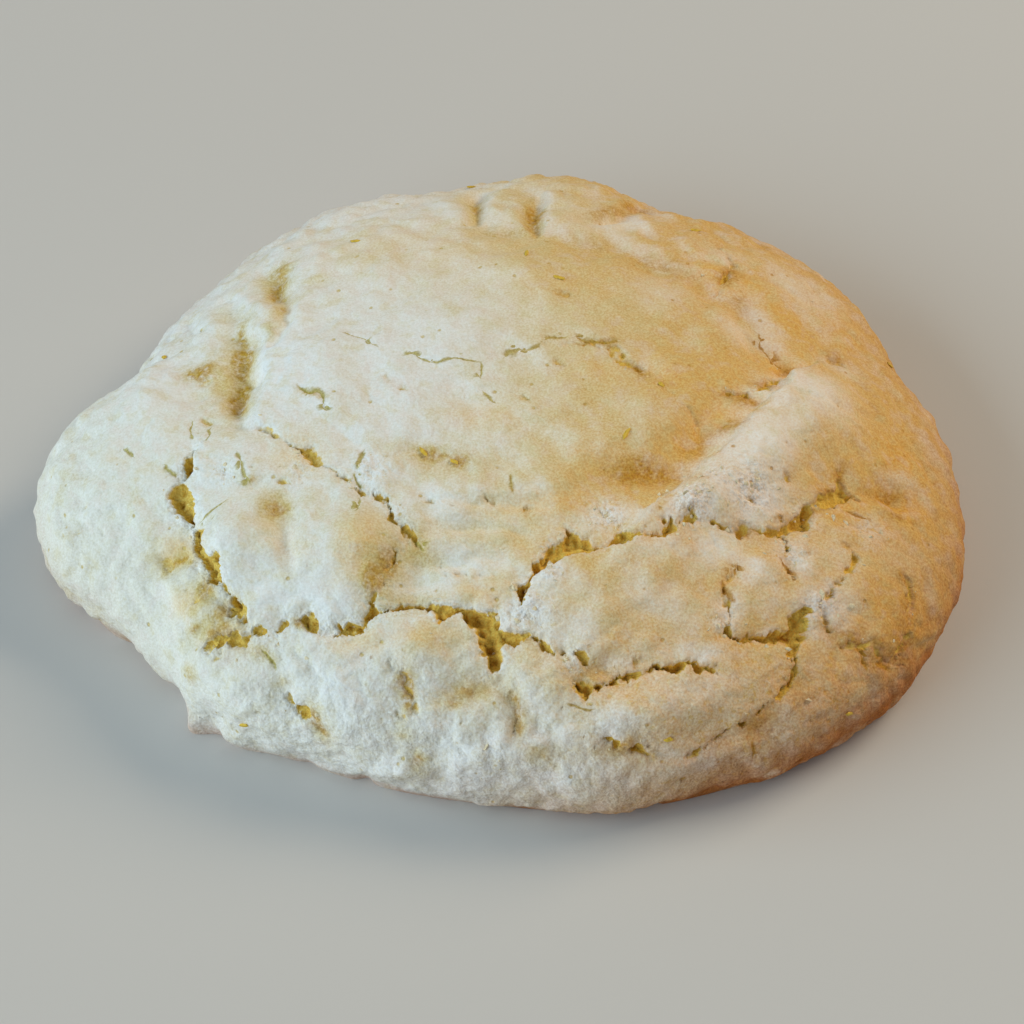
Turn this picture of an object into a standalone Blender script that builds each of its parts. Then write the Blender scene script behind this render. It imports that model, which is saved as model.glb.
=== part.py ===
"""A soft, thick lemon cookie, 70 mm across, with a domed and cracked crust, as one solid.

Places on the crust are given in millimetres over the skin, from the middle of the top: the first
number towards +X, the second towards +Y, both along the curved skin and not straight across.
"""

import math

import bmesh
import bpy
import numpy as np
from mathutils import Vector, noise

MM = 0.001  # every size below is in millimetres

# Body
THICKNESS = 16.0
WIDEST_HEIGHT = 4.0  # where the side stands out furthest
FOOT_SHARE = 0.955  # radius of the flat underside, as a share of the widest
DOME_POWER = 2.25  # higher keeps the top flatter and the shoulder fuller
FOOT_FADE = 1.6  # length of side above the foot over which the relief dies away
TO_CENTRE = (0.13, 0.16)  # shift that brings the finished outline over the origin

# Radius of the widest level in each direction, in degrees from +X towards +Y
OUTLINE = (
    (0, 33.7), (15, 32.0), (30, 32.4), (45, 31.3), (60, 29.7), (75, 30.8), (90, 29.5), (105, 29.4),
    (120, 29.9), (135, 29.2), (150, 29.1), (165, 29.9), (180, 33.9), (195, 34.1), (210, 30.6), (225, 30.5),
    (240, 29.2), (255, 28.9), (270, 29.3), (285, 30.9), (300, 32.3), (315, 34.2), (330, 35.2), (345, 35.1),
)
# Nicks in the outline (spurs below 0): direction and half width in degrees, depth, reach up the side
NICKS = (
    (167, 3.5, 1.3, 14.0), (174, 1.4, 0.4, 4.0), (199, 2.5, 0.5, 3.0), (207, 2.0, 0.6, 2.0),
    (218, 1.8, 0.6, 2.0),
    (224, 2.2, -1.5, 2.4), (231, 3.5, -0.6, 3.0), (241, 1.4, 0.3, 1.6), (250, 1.2, 0.5, 1.4),
    (291, 1.0, 0.5, 1.6),
    (340, 1.5, 0.4, 3.0),
)

# Mounds (height above 0) and hollows (below 0): place, half length, half width, turn in degrees, height
SWELLS = (
    ((-18.4, -14.2), 2.8, 2.4, 90, 1.4),  # round bun by the left crack
    ((-11.2, -15.8), 3.7, 3.1, 20, 1.6),  # larger bun beside it
    ((-15.0, -15.4), 2.6, 0.7, 95, -0.5),  # valley between the two
    ((-15.7, -12.2), 1.5, 1.0, 60, -0.7),
    ((-18.6, -8.2), 2.6, 1.8, 150, 0.4),
    ((-22.4, 0.6), 4.6, 2.6, 100, -1.2),  # slope into the left crease
    ((-26.6, 2.0), 6.0, 2.6, 95, 0.5),
    ((-32.0, -5.0), 4.0, 4.0, 0, 0.5),  # lobe on the left
    ((-17.4, 12.8), 2.6, 1.4, 100, -0.7),
    ((-13.6, 10.6), 1.6, 1.1, 0, -0.3),
    ((0.0, 3.0), 17.0, 12.0, 170, 0.8),  # smooth cap
    ((-13.4, 0.6), 3.0, 4.6, 0, 0.4),
    ((-4.0, -9.4), 3.4, 1.4, 165, -0.35),
    ((-7.8, -6.4), 2.6, 1.6, 0, 0.3),
    ((2.4, -11.6), 6.0, 1.2, 5, 0.35),
    ((-0.6, -13.9), 5.0, 0.7, 2, 0.25),
    ((-2.4, -16.2), 3.0, 0.7, 172, 0.2),
    ((9.8, -10.4), 3.2, 1.2, 8, -0.9),  # hollow at the cap's lower edge
    ((8.4, -7.2), 2.8, 1.7, 10, 0.6),
    ((14.2, -6.2), 3.4, 1.4, 60, -1.0),
    ((22.8, -3.2), 3.4, 3.0, 60, 1.1),  # broad head of the ridge
    ((18.6, -8.8), 5.0, 2.2, 52, 1.4),  # ridge
    ((13.8, -12.8), 3.0, 1.3, 38, 0.9),
    ((8.8, -20.2), 6.0, 3.2, 175, 0.7),  # long plate in the front
    ((18.6, -18.4), 2.2, 2.8, 0, 0.5),
    ((25.8, -17.0), 3.6, 3.6, 0, 0.5),
    ((-4.8, -23.6), 2.4, 1.8, 0, 0.7),
    ((3.4, -26.2), 2.2, 1.4, 0, 0.6),
    ((7.4, -25.4), 1.6, 0.7, 20, -0.6),
    ((11.8, -28.0), 5.4, 1.5, 12, 0.7),
    ((17.4, -25.0), 3.0, 1.6, 10, 0.3),
    ((-11.0, -27.0), 2.8, 2.8, 0, 0.6),
    ((-8.4, -32.2), 2.4, 0.9, 0, 0.5),
    ((-4.6, -32.0), 1.0, 1.4, 0, -0.4),
    ((-0.6, -31.4), 4.0, 1.8, 0, 0.5),
    ((-20.0, -24.8), 3.2, 1.8, 150, 0.5),
    ((-24.2, -14.4), 2.2, 0.8, 175, -0.6),
    ((-22.2, -20.6), 1.9, 0.7, 10, -0.5),
    ((-6.0, -18.4), 1.5, 2.2, 0, -0.8),
    ((14.0, -32.0), 4.0, 1.2, 15, 0.4),
    ((24.0, -26.0), 3.6, 2.6, 30, 0.4),
)

# Soft folds with rounded walls, as (place, half width, depth) from end to end
FOLDS = (
    (
        (-21.2, 11.4, 0.8, 0.2), (-19.8, 8.3, 1.0, 0.7), (-19.5, 5.4, 1.1, 1.1), (-19.3, 2.6, 1.2, 1.5),
        (-19.2, 0.4, 1.2, 1.6), (-19.4, -1.6, 1.0, 1.4), (-19.0, -3.6, 0.7, 0.6),
    ),
    (
        (-16.6, 12.2, 0.7, 0.4), (-16.8, 10.0, 0.9, 0.8), (-16.0, 8.0, 0.6, 0.7), (-15.9, 6.0, 0.5, 0.6),
        (-17.0, 4.0, 0.5, 0.4),
    ),
    (
        (-1.6, 17.4, 1.0, 0.3), (2.6, 15.0, 1.2, 0.5), (9.0, 13.6, 1.3, 0.6), (15.4, 10.0, 1.3, 0.7),
        (18.0, 7.4, 1.2, 0.6), (19.2, 4.6, 1.0, 0.6), (21.2, 2.2, 0.7, 0.7),
    ),
    ((-2.1, 24.5, 0.6, 0.7), (-2.1, 17.8, 0.5, 0.7)),
    ((2.9, 23.0, 0.5, 0.4), (2.6, 19.0, 0.6, 0.9), (2.5, 15.6, 0.5, 0.8)),
    ((6.2, 18.4, 0.6, 0.3), (8.6, 19.4, 0.6, 0.6), (11.2, 23.0, 0.6, 0.6)),
    ((-4.4, -26.8, 0.8, 0.2), (-1.6, -26.6, 0.9, 0.5), (0.8, -27.2, 0.6, 0.5), (1.5, -29.4, 0.4, 0.5)),
    ((-9.4, -31.0, 0.5, 0.2), (-6.6, -31.2, 0.6, 0.4), (-3.2, -30.6, 0.6, 0.4), (-0.6, -30.0, 0.5, 0.2)),
    ((-5.0, -12.6, 0.3, 0.05), (-1.0, -12.7, 0.35, 0.15), (3.6, -13.3, 0.3, 0.05)),
    ((-5.6, -15.2, 0.35, 0.05), (-2.0, -14.8, 0.4, 0.2), (1.6, -15.4, 0.3, 0.05)),
    ((-5.2, -17.2, 0.35, 0.1), (-2.8, -17.6, 0.4, 0.25), (-0.2, -17.0, 0.3, 0.05)),
    ((26.4, -8.8, 0.6, 0.3), (29.0, -8.4, 1.0, 0.9), (31.0, -7.8, 0.7, 0.5)),
)

# Cracks with steep torn walls: how far the crust is raised beside it on the left and right hand of its
# run, then (place, half width, depth) from end to end
CRACKS = (
    (0.6, 0.0, (  # left main crack
        (-21.0, -4.9, 0.2, 0.4), (-22.7, -6.4, 0.4, 1.4), (-23.1, -8.4, 0.4, 1.6), (-23.6, -9.4, 0.5, 1.4),
        (-22.7, -11.1, 0.42, 2.0), (-21.9, -12.8, 0.42, 1.8), (-21.7, -14.4, 0.46, 1.8),
        (-20.6, -15.9, 0.5, 2.0),
        (-19.9, -17.3, 0.25, 1.0), (-19.5, -18.7, 0.45, 2.0), (-18.5, -20.4, 0.35, 1.4),
    )),
    (0.3, 0.1, (
        (-21.4, -21.2, 0.3, 0.8), (-19.8, -21.6, 0.5, 1.0), (-18.2, -21.5, 0.4, 1.0),
        (-15.8, -21.1, 0.15, 0.7), (-14.0, -20.8, 0.5, 1.7),
    )),
    (0.3, 0.4, (
        (-14.0, -20.8, 0.5, 1.7), (-12.6, -22.1, 0.36, 1.0), (-10.2, -22.0, 0.45, 2.0),
        (-9.2, -21.0, 0.25, 1.4),
        (-6.6, -20.8, 0.45, 1.8), (-4.6, -21.1, 0.4, 1.2), (-2.4, -21.4, 0.35, 1.5),
    )),
    (0.0, 0.3, ((-7.3, -16.4, 0.3, 0.7), (-7.9, -18.8, 0.2, 0.8), (-9.4, -20.4, 0.2, 1.0))),
    (0.2, 0.3, (  # forked pit in the front
        (-2.4, -21.5, 0.4, 1.4), (-1.0, -22.2, 0.7, 2.1), (-0.7, -23.4, 0.9, 2.0), (-0.8, -24.6, 0.6, 2.2),
        (-0.8, -25.6, 0.3, 1.2),
    )),
    (0.4, 0.0, (
        (-0.4, -23.2, 0.7, 1.8), (2.2, -23.4, 0.3, 0.8), (4.4, -24.1, 0.25, 0.8), (6.2, -24.8, 0.25, 0.7),
    )),
    (0.0, 0.6, (  # middle main crack, up to the ridge
        (1.5, -20.4, 0.3, 1.4), (1.9, -19.3, 0.35, 2.0), (3.0, -17.8, 0.48, 1.6), (4.6, -16.6, 0.48, 1.5),
        (7.0, -16.6, 0.48, 1.5), (8.8, -15.9, 0.42, 1.6), (11.4, -15.7, 0.3, 1.1), (12.1, -14.9, 0.4, 1.6),
    )),
    (0.5, 0.2, (  # on under the ridge
        (12.1, -14.9, 0.4, 1.6), (14.6, -14.3, 0.25, 1.0), (17.6, -14.6, 0.28, 1.4), (20.6, -13.4, 0.33, 1.8),
        (22.3, -12.1, 0.4, 1.6), (24.0, -10.9, 0.45, 1.5), (24.9, -9.2, 0.4, 1.4), (24.7, -8.0, 0.35, 1.3),
    )),
    (0.3, 0.2, ((24.9, -9.2, 0.4, 1.2), (27.0, -9.4, 0.2, 0.6))),
    (0.0, 0.0, ((4.6, -16.6, 0.35, 1.4), (4.8, -15.3, 0.25, 1.1))),
    (0.2, 0.3, (
        (6.1, -26.8, 0.35, 2.1), (9.6, -26.1, 0.25, 1.8), (12.4, -25.1, 0.3, 1.7), (15.2, -25.1, 0.2, 1.0),
    )),
    (0.3, 0.1, (
        (16.8, -17.2, 0.12, 0.3), (16.4, -19.4, 0.25, 0.8), (15.8, -21.2, 0.12, 0.3), (16.4, -22.7, 0.3, 1.4),
    )),
    (0.2, 0.3, ((16.4, -22.7, 0.3, 1.6), (19.4, -22.3, 0.3, 1.7), (22.2, -21.8, 0.35, 1.6))),
    (0.2, 0.2, (
        (20.0, -14.4, 0.2, 0.7), (20.9, -17.2, 0.15, 0.8), (21.8, -19.4, 0.2, 1.0), (21.5, -21.6, 0.45, 1.6),
        (21.5, -24.8, 0.35, 1.2), (19.8, -27.4, 0.35, 1.1), (17.0, -29.2, 0.3, 0.9), (14.2, -30.9, 0.25, 0.6),
    )),
    (0.3, 0.1, (
        (25.6, -14.4, 0.25, 0.8), (25.0, -16.6, 0.2, 0.7), (23.0, -19.2, 0.15, 0.6), (23.9, -20.5, 0.4, 0.9),
    )),
    (0.2, 0.2, (
        (25.4, -21.7, 0.25, 0.7), (28.0, -21.1, 0.2, 0.6), (28.9, -22.4, 0.2, 0.7), (31.0, -21.6, 0.25, 0.6),
    )),
    (0.3, 0.0, (
        (-18.6, -4.2, 0.3, 0.6), (-16.2, -6.0, 0.25, 0.7), (-14.0, -7.6, 0.3, 0.8), (-13.0, -9.2, 0.2, 0.6),
    )),
    (0.3, 0.0, (
        (-13.0, -9.2, 0.2, 0.6), (-10.0, -11.0, 0.2, 0.7), (-8.2, -12.6, 0.22, 0.9), (-6.8, -14.5, 0.22, 1.0),
        (-5.8, -16.0, 0.15, 0.6), (-4.0, -18.4, 0.15, 0.4), (0.4, -18.6, 0.12, 0.3),
    )),
    (0.0, 0.1, ((0.6, 0.2, 0.1, 0.1), (3.4, 1.3, 0.1, 0.2), (7.2, 1.8, 0.2, 0.4), (9.9, -0.5, 0.35, 0.8))),
    (0.0, 0.1, ((11.9, -2.8, 0.1, 0.2), (14.2, -4.6, 0.15, 0.3))),
    (0.1, 0.1, ((16.2, 9.6, 0.25, 1.1), (17.8, 13.4, 0.2, 0.8), (17.4, 16.6, 0.2, 0.5))),
    (0.1, 0.0, ((16.2, -1.8, 0.25, 0.9), (18.0, -2.5, 0.3, 1.0))),
    (0.3, 0.1, (
        (21.8, 2.2, 0.35, 1.2), (20.8, 0.6, 0.15, 0.6), (19.3, -0.7, 0.35, 1.0), (18.6, -1.8, 0.2, 0.3),
    )),
    (0.1, 0.1, ((-16.0, -25.8, 0.2, 0.7), (-14.6, -27.2, 0.4, 1.3), (-13.4, -28.9, 0.3, 1.2))),
    (0.1, 0.1, ((-7.8, -24.6, 0.2, 0.6), (-6.6, -26.4, 0.22, 0.7), (-6.0, -28.0, 0.2, 0.6))),
    (0.1, 0.2, ((6.6, -30.6, 0.2, 0.5), (9.9, -30.7, 0.3, 1.1), (11.4, -31.4, 0.2, 0.6))),
    (0.0, 0.0, ((1.5, -28.3, 0.12, 0.5), (1.6, -29.6, 0.18, 0.7))),
    (0.1, 0.1, (
        (30.2, -15.4, 0.3, 0.8), (30.6, -18.0, 0.2, 0.5), (30.5, -20.0, 0.3, 0.9), (30.3, -22.0, 0.3, 0.9),
    )),
    # round the back
    (0.2, 0.1, (
        (-16.0, 27.4, 0.2, 0.5), (-12.0, 29.6, 0.35, 1.2), (-7.4, 30.0, 0.3, 1.1), (-4.0, 32.2, 0.2, 0.5),
    )),
    (0.1, 0.2, (
        (7.0, 29.0, 0.2, 0.5), (10.4, 31.4, 0.35, 1.2), (14.8, 30.6, 0.3, 1.0), (17.6, 31.8, 0.2, 0.4),
    )),
    (0.2, 0.1, ((26.6, 20.4, 0.2, 0.4), (27.4, 24.2, 0.35, 1.2), (25.4, 27.4, 0.25, 0.9))),
    (0.1, 0.2, ((-28.4, 15.8, 0.2, 0.4), (-26.0, 19.8, 0.35, 1.1), (-24.6, 24.4, 0.25, 0.7))),
    (0.1, 0.1, ((36.2, 3.4, 0.2, 0.4), (35.4, 7.6, 0.3, 0.9), (36.4, 11.0, 0.2, 0.4))),
)
# Ledges, where the crust on the left hand of a run stands higher: height, reach back from the edge, places
LEDGES = (
    (0.9, 3.6, (
        (21.9, 1.1), (19.7, -2.1), (17.6, -5.4), (15.4, -8.2), (13.6, -10.2), (11.4, -12.5), (9.9, -14.0),
    )),
)
LEDGE_EDGE = 1.1  # width over which a ledge climbs
FOLD_SPREAD = 1.3  # reach of a fold's wall, as a share of its half width
CRACK_FLOOR = 0.5  # half width of a crack's floor, as a share of its half width
WALL_RUN = 0.2  # shortest way across a crack's wall
WALL_RUN_SHARE = 0.7  # how much longer that way grows with the crack's half width
SIDE_EASE = 0.3  # distance from a run at which its two sides begin to tell apart
CRACK_SHOULDER = 1.3  # distance over which the crust rolls down into a crack
CRACK_ROLL = 0.30  # how far it rolls down, as a share of the crack's depth
LIP_REACH = 2.6  # distance over which a raised side falls away

# Small uneven rise and fall of the whole crust: wavelength, height
UNEVEN = ((9.0, 0.45), (4.2, 0.28), (2.0, 0.13))
# Wander of the crack walls: wavelength, reach
RAGGED = ((2.4, 0.45), (1.0, 0.22))

# Mesh
CELLS = 160  # along each side of the grid that becomes the crust
TRIANGLES = 11400


def interpolate_around(direction, stations):
    """Value in each direction, in radians, on a closed smooth curve through evenly spaced stations."""
    values = np.array([value for _, value in stations], float)
    count = len(values)
    place = np.mod(direction, 2 * np.pi) / (2 * np.pi) * count
    span = np.floor(place).astype(int) % count
    share = place - np.floor(place)
    before, here, there, after = (values[(span + step) % count] for step in (-1, 0, 1, 2))
    return 0.5 * (
        2 * here
        + (there - before) * share
        + (2 * before - 5 * here + 4 * there - after) * share**2
        + (3 * here - before - 3 * there + after) * share**3
    )


def outline_radius(direction):
    """Radius of the widest level in each direction."""
    return interpolate_around(direction, OUTLINE)


def nick_depth(direction, left):
    """Depth of the nicks in each direction, dying away up the side."""
    total = np.zeros_like(direction)
    for centre, half_width, depth, reach in NICKS:
        away = (np.degrees(direction) - centre + 180) % 360 - 180
        total += depth * np.exp(-((away / half_width) ** 2) - (left / reach) ** 2)
    return total


def section(steps=600):
    """Half section from the middle of the top to the foot: length along it, share of radius, height."""
    mean = np.mean([radius for _, radius in OUTLINE])
    climb = np.linspace(np.pi / 2, 0, steps)
    drop = np.linspace(0, 1, steps // 4)[1:]
    share = np.concatenate([np.cos(climb) ** (2 / DOME_POWER), 1 - (1 - FOOT_SHARE) * drop**2])
    share[0] = 0
    height = np.concatenate([
        WIDEST_HEIGHT + (THICKNESS - WIDEST_HEIGHT) * np.sin(climb),
        WIDEST_HEIGHT * (1 - drop),
    ])
    length = np.concatenate([[0], np.cumsum(np.hypot(np.diff(share) * mean, np.diff(height)))])
    return length, share, height, mean


def skin_point(across, along):
    """Point of the smooth body under a place on the skin, and the length left to the foot."""
    length, share, height, mean = section()
    direction = np.arctan2(along, across)
    radius = outline_radius(direction)
    run = np.hypot(across, along) * mean / radius
    left = length[-1] - run
    reach = np.interp(run, length, share) * radius - nick_depth(direction, left)
    level = np.interp(run, length, height)
    point = np.stack([reach * np.cos(direction), reach * np.sin(direction), level], -1)
    return point, left


def skin_normal(across, along, step=0.3):
    """Outward direction of the smooth body."""
    east = skin_point(across + step, along)[0] - skin_point(across - step, along)[0]
    north = skin_point(across, along + step)[0] - skin_point(across, along - step)[0]
    normal = np.cross(east, north)
    return normal / np.linalg.norm(normal, axis=-1, keepdims=True)


def uneven(points, octaves, seed):
    """Smooth random rise and fall, from the same seed every time."""
    total = np.zeros(len(points))
    for order, (wavelength, height) in enumerate(octaves):
        shift = Vector((seed * 17.3, order * 31.7, seed * 5.1))
        total += height * np.array([noise.noise(Vector(point) / wavelength + shift) for point in points])
    return total


def along_route(across, along, route):
    """Distance to a route from every place, its half width and depth abreast, and the side it lies on."""
    best = np.full(across.shape, np.inf)
    width = np.zeros_like(best)
    depth = np.zeros_like(best)
    side = np.zeros_like(best)
    for start, end in zip(route, route[1:]):
        run_x, run_y = end[0] - start[0], end[1] - start[1]
        share = ((across - start[0]) * run_x + (along - start[1]) * run_y) / (run_x**2 + run_y**2)
        share = np.clip(share, 0, 1)
        distance = np.hypot(across - start[0] - share * run_x, along - start[1] - share * run_y)
        beside = (run_x * (along - start[1]) - run_y * (across - start[0])) / math.hypot(run_x, run_y)
        nearer = distance < best
        best = np.where(nearer, distance, best)
        width = np.where(nearer, start[2] + share * (end[2] - start[2]), width)
        depth = np.where(nearer, start[3] + share * (end[3] - start[3]), depth)
        side = np.where(nearer, beside / (distance + SIDE_EASE), side)
    return best, width, depth, side


def swell_height(across, along):
    """Height of all mounds and hollows together."""
    total = np.zeros_like(across)
    for (x, y), half_length, half_width, turn, height in SWELLS:
        angle = math.radians(turn)
        lengthwise = (across - x) * math.cos(angle) + (along - y) * math.sin(angle)
        crosswise = (along - y) * math.cos(angle) - (across - x) * math.sin(angle)
        total += height * np.exp(-((lengthwise / half_length) ** 2) - (crosswise / half_width) ** 2)
    return total


def smooth_step(value):
    """0 below 0 and 1 above 1, with a smooth climb between."""
    value = np.clip(value, 0, 1)
    return value * value * (3 - 2 * value)


def relief(across, along, points):
    """Height of the crust above the smooth body."""
    total = swell_height(across, along) + uneven(points, UNEVEN, 1)
    wander_x = across + uneven(points, RAGGED, 2)
    wander_y = along + uneven(points, RAGGED, 3)
    for rise, reach, places in LEDGES:
        route = [(x, y, 0, 0) for x, y in places]
        distance, _, _, side = along_route(wander_x, wander_y, route)
        beside = side * (distance + SIDE_EASE)
        total += rise * smooth_step(0.5 + beside / LEDGE_EDGE) * np.exp(-((distance / reach) ** 2))
    fold = np.zeros_like(across)
    for route in FOLDS:
        distance, width, depth, _ = along_route(wander_x, wander_y, route)
        fold = np.maximum(fold, depth * np.exp(-((distance / (FOLD_SPREAD * width)) ** 2)))
    crack = np.zeros_like(across)
    roll = np.zeros_like(across)
    lip = np.zeros_like(across)
    for left_lip, right_lip, route in CRACKS:
        distance, width, depth, side = along_route(wander_x, wander_y, route)
        wall = smooth_step((distance - CRACK_FLOOR * width) / (WALL_RUN + WALL_RUN_SHARE * width))
        crack = np.maximum(crack, depth * (1 - wall))
        roll = np.maximum(roll, CRACK_ROLL * depth * np.exp(-distance / CRACK_SHOULDER))
        raised = 0.5 * (left_lip * (1 + side) + right_lip * (1 - side)) * np.clip(depth, 0, 1)
        lip = np.maximum(lip, raised * np.exp(-((distance / LIP_REACH) ** 2)))
    return total + lip - fold - roll - crack


def disc_from_square(x, y):
    """Place on a round sheet, as share of its radius and direction, for a place on a square one."""
    sideways = np.abs(x) > np.abs(y)
    long_way = np.where(sideways, x, y)
    short_way = np.where(sideways, y, x)
    share = np.divide(short_way, long_way, out=np.zeros_like(x), where=long_way != 0)
    turn = np.pi / 4 * share
    direction = np.where(sideways, turn, np.pi / 2 - turn) + np.where(long_way < 0, np.pi, 0)
    return np.abs(long_way), direction


def cookie_mesh():
    """Closed mesh of the cookie: a grid laid over the body as its crust, and a flat underside."""
    mesh = bpy.data.meshes.new("cookie")
    sheet = bmesh.new()
    bmesh.ops.create_grid(sheet, x_segments=CELLS, y_segments=CELLS, size=1)
    square = np.array([vertex.co for vertex in sheet.verts], float)
    share, direction = disc_from_square(square[:, 0], square[:, 1])
    length, _, _, mean = section()
    run = share * length[-1] * outline_radius(direction) / mean
    across = run * np.cos(direction)
    along = run * np.sin(direction)
    points, left = skin_point(across, along)
    height = relief(across, along, points) * smooth_step(left / FOOT_FADE)
    points = points + skin_normal(across, along) * height[:, None]
    points[:, :2] += TO_CENTRE
    points[:, 2] = np.where(share > 1 - 1e-6, 0, np.maximum(points[:, 2], 0))
    for vertex, point in zip(sheet.verts, points):
        vertex.co = point * MM
    bmesh.ops.holes_fill(sheet, edges=[edge for edge in sheet.edges if edge.is_boundary])
    bmesh.ops.recalc_face_normals(sheet, faces=sheet.faces)
    sheet.to_mesh(mesh)
    sheet.free()
    return mesh


def crust_material():
    """Matt pale gold of baked dough."""
    material = bpy.data.materials.new("cookie_crust")
    material.use_nodes = True
    surface = material.node_tree.nodes["Principled BSDF"]
    surface.inputs["Base Color"].default_value = (0.72, 0.60, 0.38, 1)
    surface.inputs["Roughness"].default_value = 0.85
    return material


def main():
    """Clears the file and makes the cookie as one closed mesh."""
    for leftover in list(bpy.data.objects):
        bpy.data.objects.remove(leftover, do_unlink=True)
    collection = bpy.data.collections.new("lemon_cookie")
    bpy.context.scene.collection.children.link(collection)
    mesh = cookie_mesh()
    mesh.materials.append(crust_material())
    cookie = bpy.data.objects.new("cookie", mesh)
    collection.objects.link(cookie)
    thin = cookie.modifiers.new("thin", "DECIMATE")
    thin.ratio = TRIANGLES / (2 * CELLS * CELLS + 4 * CELLS - 2)
    thin.use_collapse_triangulate = True


if __name__ == "__main__":
    main()
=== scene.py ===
"""The looks of a soft, thick lemon cookie: cracked and crumbly crust, browned foot, zest and crumbs.

Places on the crust are given in millimetres over the skin, from the middle of the top: x towards +X and
y towards +Y, both along the curved skin and not straight across. An array of places has a row of x and a
row of y.
"""

import functools
import math
import random

import bmesh
import bpy
import numpy as np
from mathutils import Matrix, Vector, noise


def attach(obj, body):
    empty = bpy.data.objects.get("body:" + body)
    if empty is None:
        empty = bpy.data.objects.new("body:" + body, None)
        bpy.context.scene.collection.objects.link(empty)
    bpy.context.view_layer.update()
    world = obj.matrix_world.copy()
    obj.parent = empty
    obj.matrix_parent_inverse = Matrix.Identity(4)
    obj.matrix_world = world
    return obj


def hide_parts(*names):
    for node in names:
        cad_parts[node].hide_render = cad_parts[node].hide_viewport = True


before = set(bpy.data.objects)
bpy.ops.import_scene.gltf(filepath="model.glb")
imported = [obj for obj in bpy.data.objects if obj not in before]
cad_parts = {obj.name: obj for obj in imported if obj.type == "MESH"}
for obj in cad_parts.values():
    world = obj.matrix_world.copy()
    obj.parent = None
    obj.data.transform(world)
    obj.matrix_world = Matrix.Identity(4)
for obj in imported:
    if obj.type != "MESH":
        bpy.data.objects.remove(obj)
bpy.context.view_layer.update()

MM = 0.001  # every size below is in millimetres

# Body, as in the solid
THICKNESS = 16
WIDEST_HEIGHT = 4  # where the side stands out furthest
FOOT_SHARE = 0.955  # radius of the flat underside, as a share of the widest
DOME_POWER = 2.25  # higher keeps the top flatter and the shoulder fuller
FOOT_FADE = 1.6  # length of side above the foot over which the relief dies away
TO_CENTRE = (0.13, 0.16)  # shift that brings the finished outline over the origin

# Radius of the widest level in each direction, in degrees from +X towards +Y
OUTLINE = (
    (0, 33.7), (15, 32), (30, 32.4), (45, 31.3), (60, 29.7), (75, 30.8), (90, 29.5), (105, 29.4),
    (120, 29.9), (135, 29.2), (150, 29.1), (165, 29.9), (180, 33.9), (195, 34.1), (210, 30.6), (225, 30.5),
    (240, 29.2), (255, 28.9), (270, 29.3), (285, 30.9), (300, 32.3), (315, 34.2), (330, 35.2), (345, 35.1),
)
# Nicks in the outline (spurs below 0): direction and half width in degrees, depth, reach up the side
NICKS = (
    (167, 3.5, 1.3, 14), (174, 1.4, 0.4, 4), (199, 2.5, 0.5, 3), (207, 2, 0.6, 2), (218, 1.8, 0.6, 2),
    (224, 2.2, -1.5, 2.4), (231, 3.5, -0.6, 3), (241, 1.4, 0.3, 1.6), (250, 1.2, 0.5, 1.4),
    (291, 1, 0.5, 1.6), (340, 1.5, 0.4, 3),
)

# Mounds (height above 0) and hollows (below 0): x, y, half length, half width, turn in degrees, height
SWELLS = (
    # two buns by the left crack, and the valley between them
    (-18.4, -14.2, 2.8, 2.4, 90, 1.4), (-11.2, -15.8, 3.7, 3.1, 20, 1.6), (-15, -15.4, 2.6, 0.7, 95, -0.5),
    (-15.7, -12.2, 1.5, 1, 60, -0.7), (-18.6, -8.2, 2.6, 1.8, 150, 0.4),
    # slope into the left crease, the lobe, and hollows behind it
    (-22.4, 0.6, 4.6, 2.6, 100, -1.2), (-26.6, 2, 6, 2.6, 95, 0.5), (-32, -5, 4, 4, 0, 0.5),
    (-17.4, 12.8, 2.6, 1.4, 100, -0.7), (-13.6, 10.6, 1.6, 1.1, 0, -0.3),
    # cap, and its lower edge
    (0, 3, 17, 12, 170, 0.8), (-13.4, 0.6, 3, 4.6, 0, 0.4), (-4, -9.4, 3.4, 1.4, 165, -0.35),
    (-7.8, -6.4, 2.6, 1.6, 0, 0.3), (2.4, -11.6, 6, 1.2, 5, 0.35), (-0.6, -13.9, 5, 0.7, 2, 0.25),
    (-2.4, -16.2, 3, 0.7, 172, 0.2), (9.8, -10.4, 3.2, 1.2, 8, -0.9), (8.4, -7.2, 2.8, 1.7, 10, 0.6),
    # ridge on the right
    (14.2, -6.2, 3.4, 1.4, 60, -1), (22.8, -3.2, 3.4, 3, 60, 1.1), (18.6, -8.8, 5, 2.2, 52, 1.4),
    (13.8, -12.8, 3, 1.3, 38, 0.9),
    # plates and bulges in the front
    (8.8, -20.2, 6, 3.2, 175, 0.7), (18.6, -18.4, 2.2, 2.8, 0, 0.5), (25.8, -17, 3.6, 3.6, 0, 0.5),
    (-4.8, -23.6, 2.4, 1.8, 0, 0.7), (3.4, -26.2, 2.2, 1.4, 0, 0.6), (7.4, -25.4, 1.6, 0.7, 20, -0.6),
    (11.8, -28, 5.4, 1.5, 12, 0.7), (17.4, -25, 3, 1.6, 10, 0.3), (-11, -27, 2.8, 2.8, 0, 0.6),
    (-8.4, -32.2, 2.4, 0.9, 0, 0.5), (-4.6, -32, 1, 1.4, 0, -0.4), (-0.6, -31.4, 4, 1.8, 0, 0.5),
    (-20, -24.8, 3.2, 1.8, 150, 0.5), (-24.2, -14.4, 2.2, 0.8, 175, -0.6),
    (-22.2, -20.6, 1.9, 0.7, 10, -0.5), (-6, -18.4, 1.5, 2.2, 0, -0.8), (14, -32, 4, 1.2, 15, 0.4),
    (24, -26, 3.6, 2.6, 30, 0.4), (29.6, -20.6, 2.4, 1.2, 20, 0.4),
)

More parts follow.
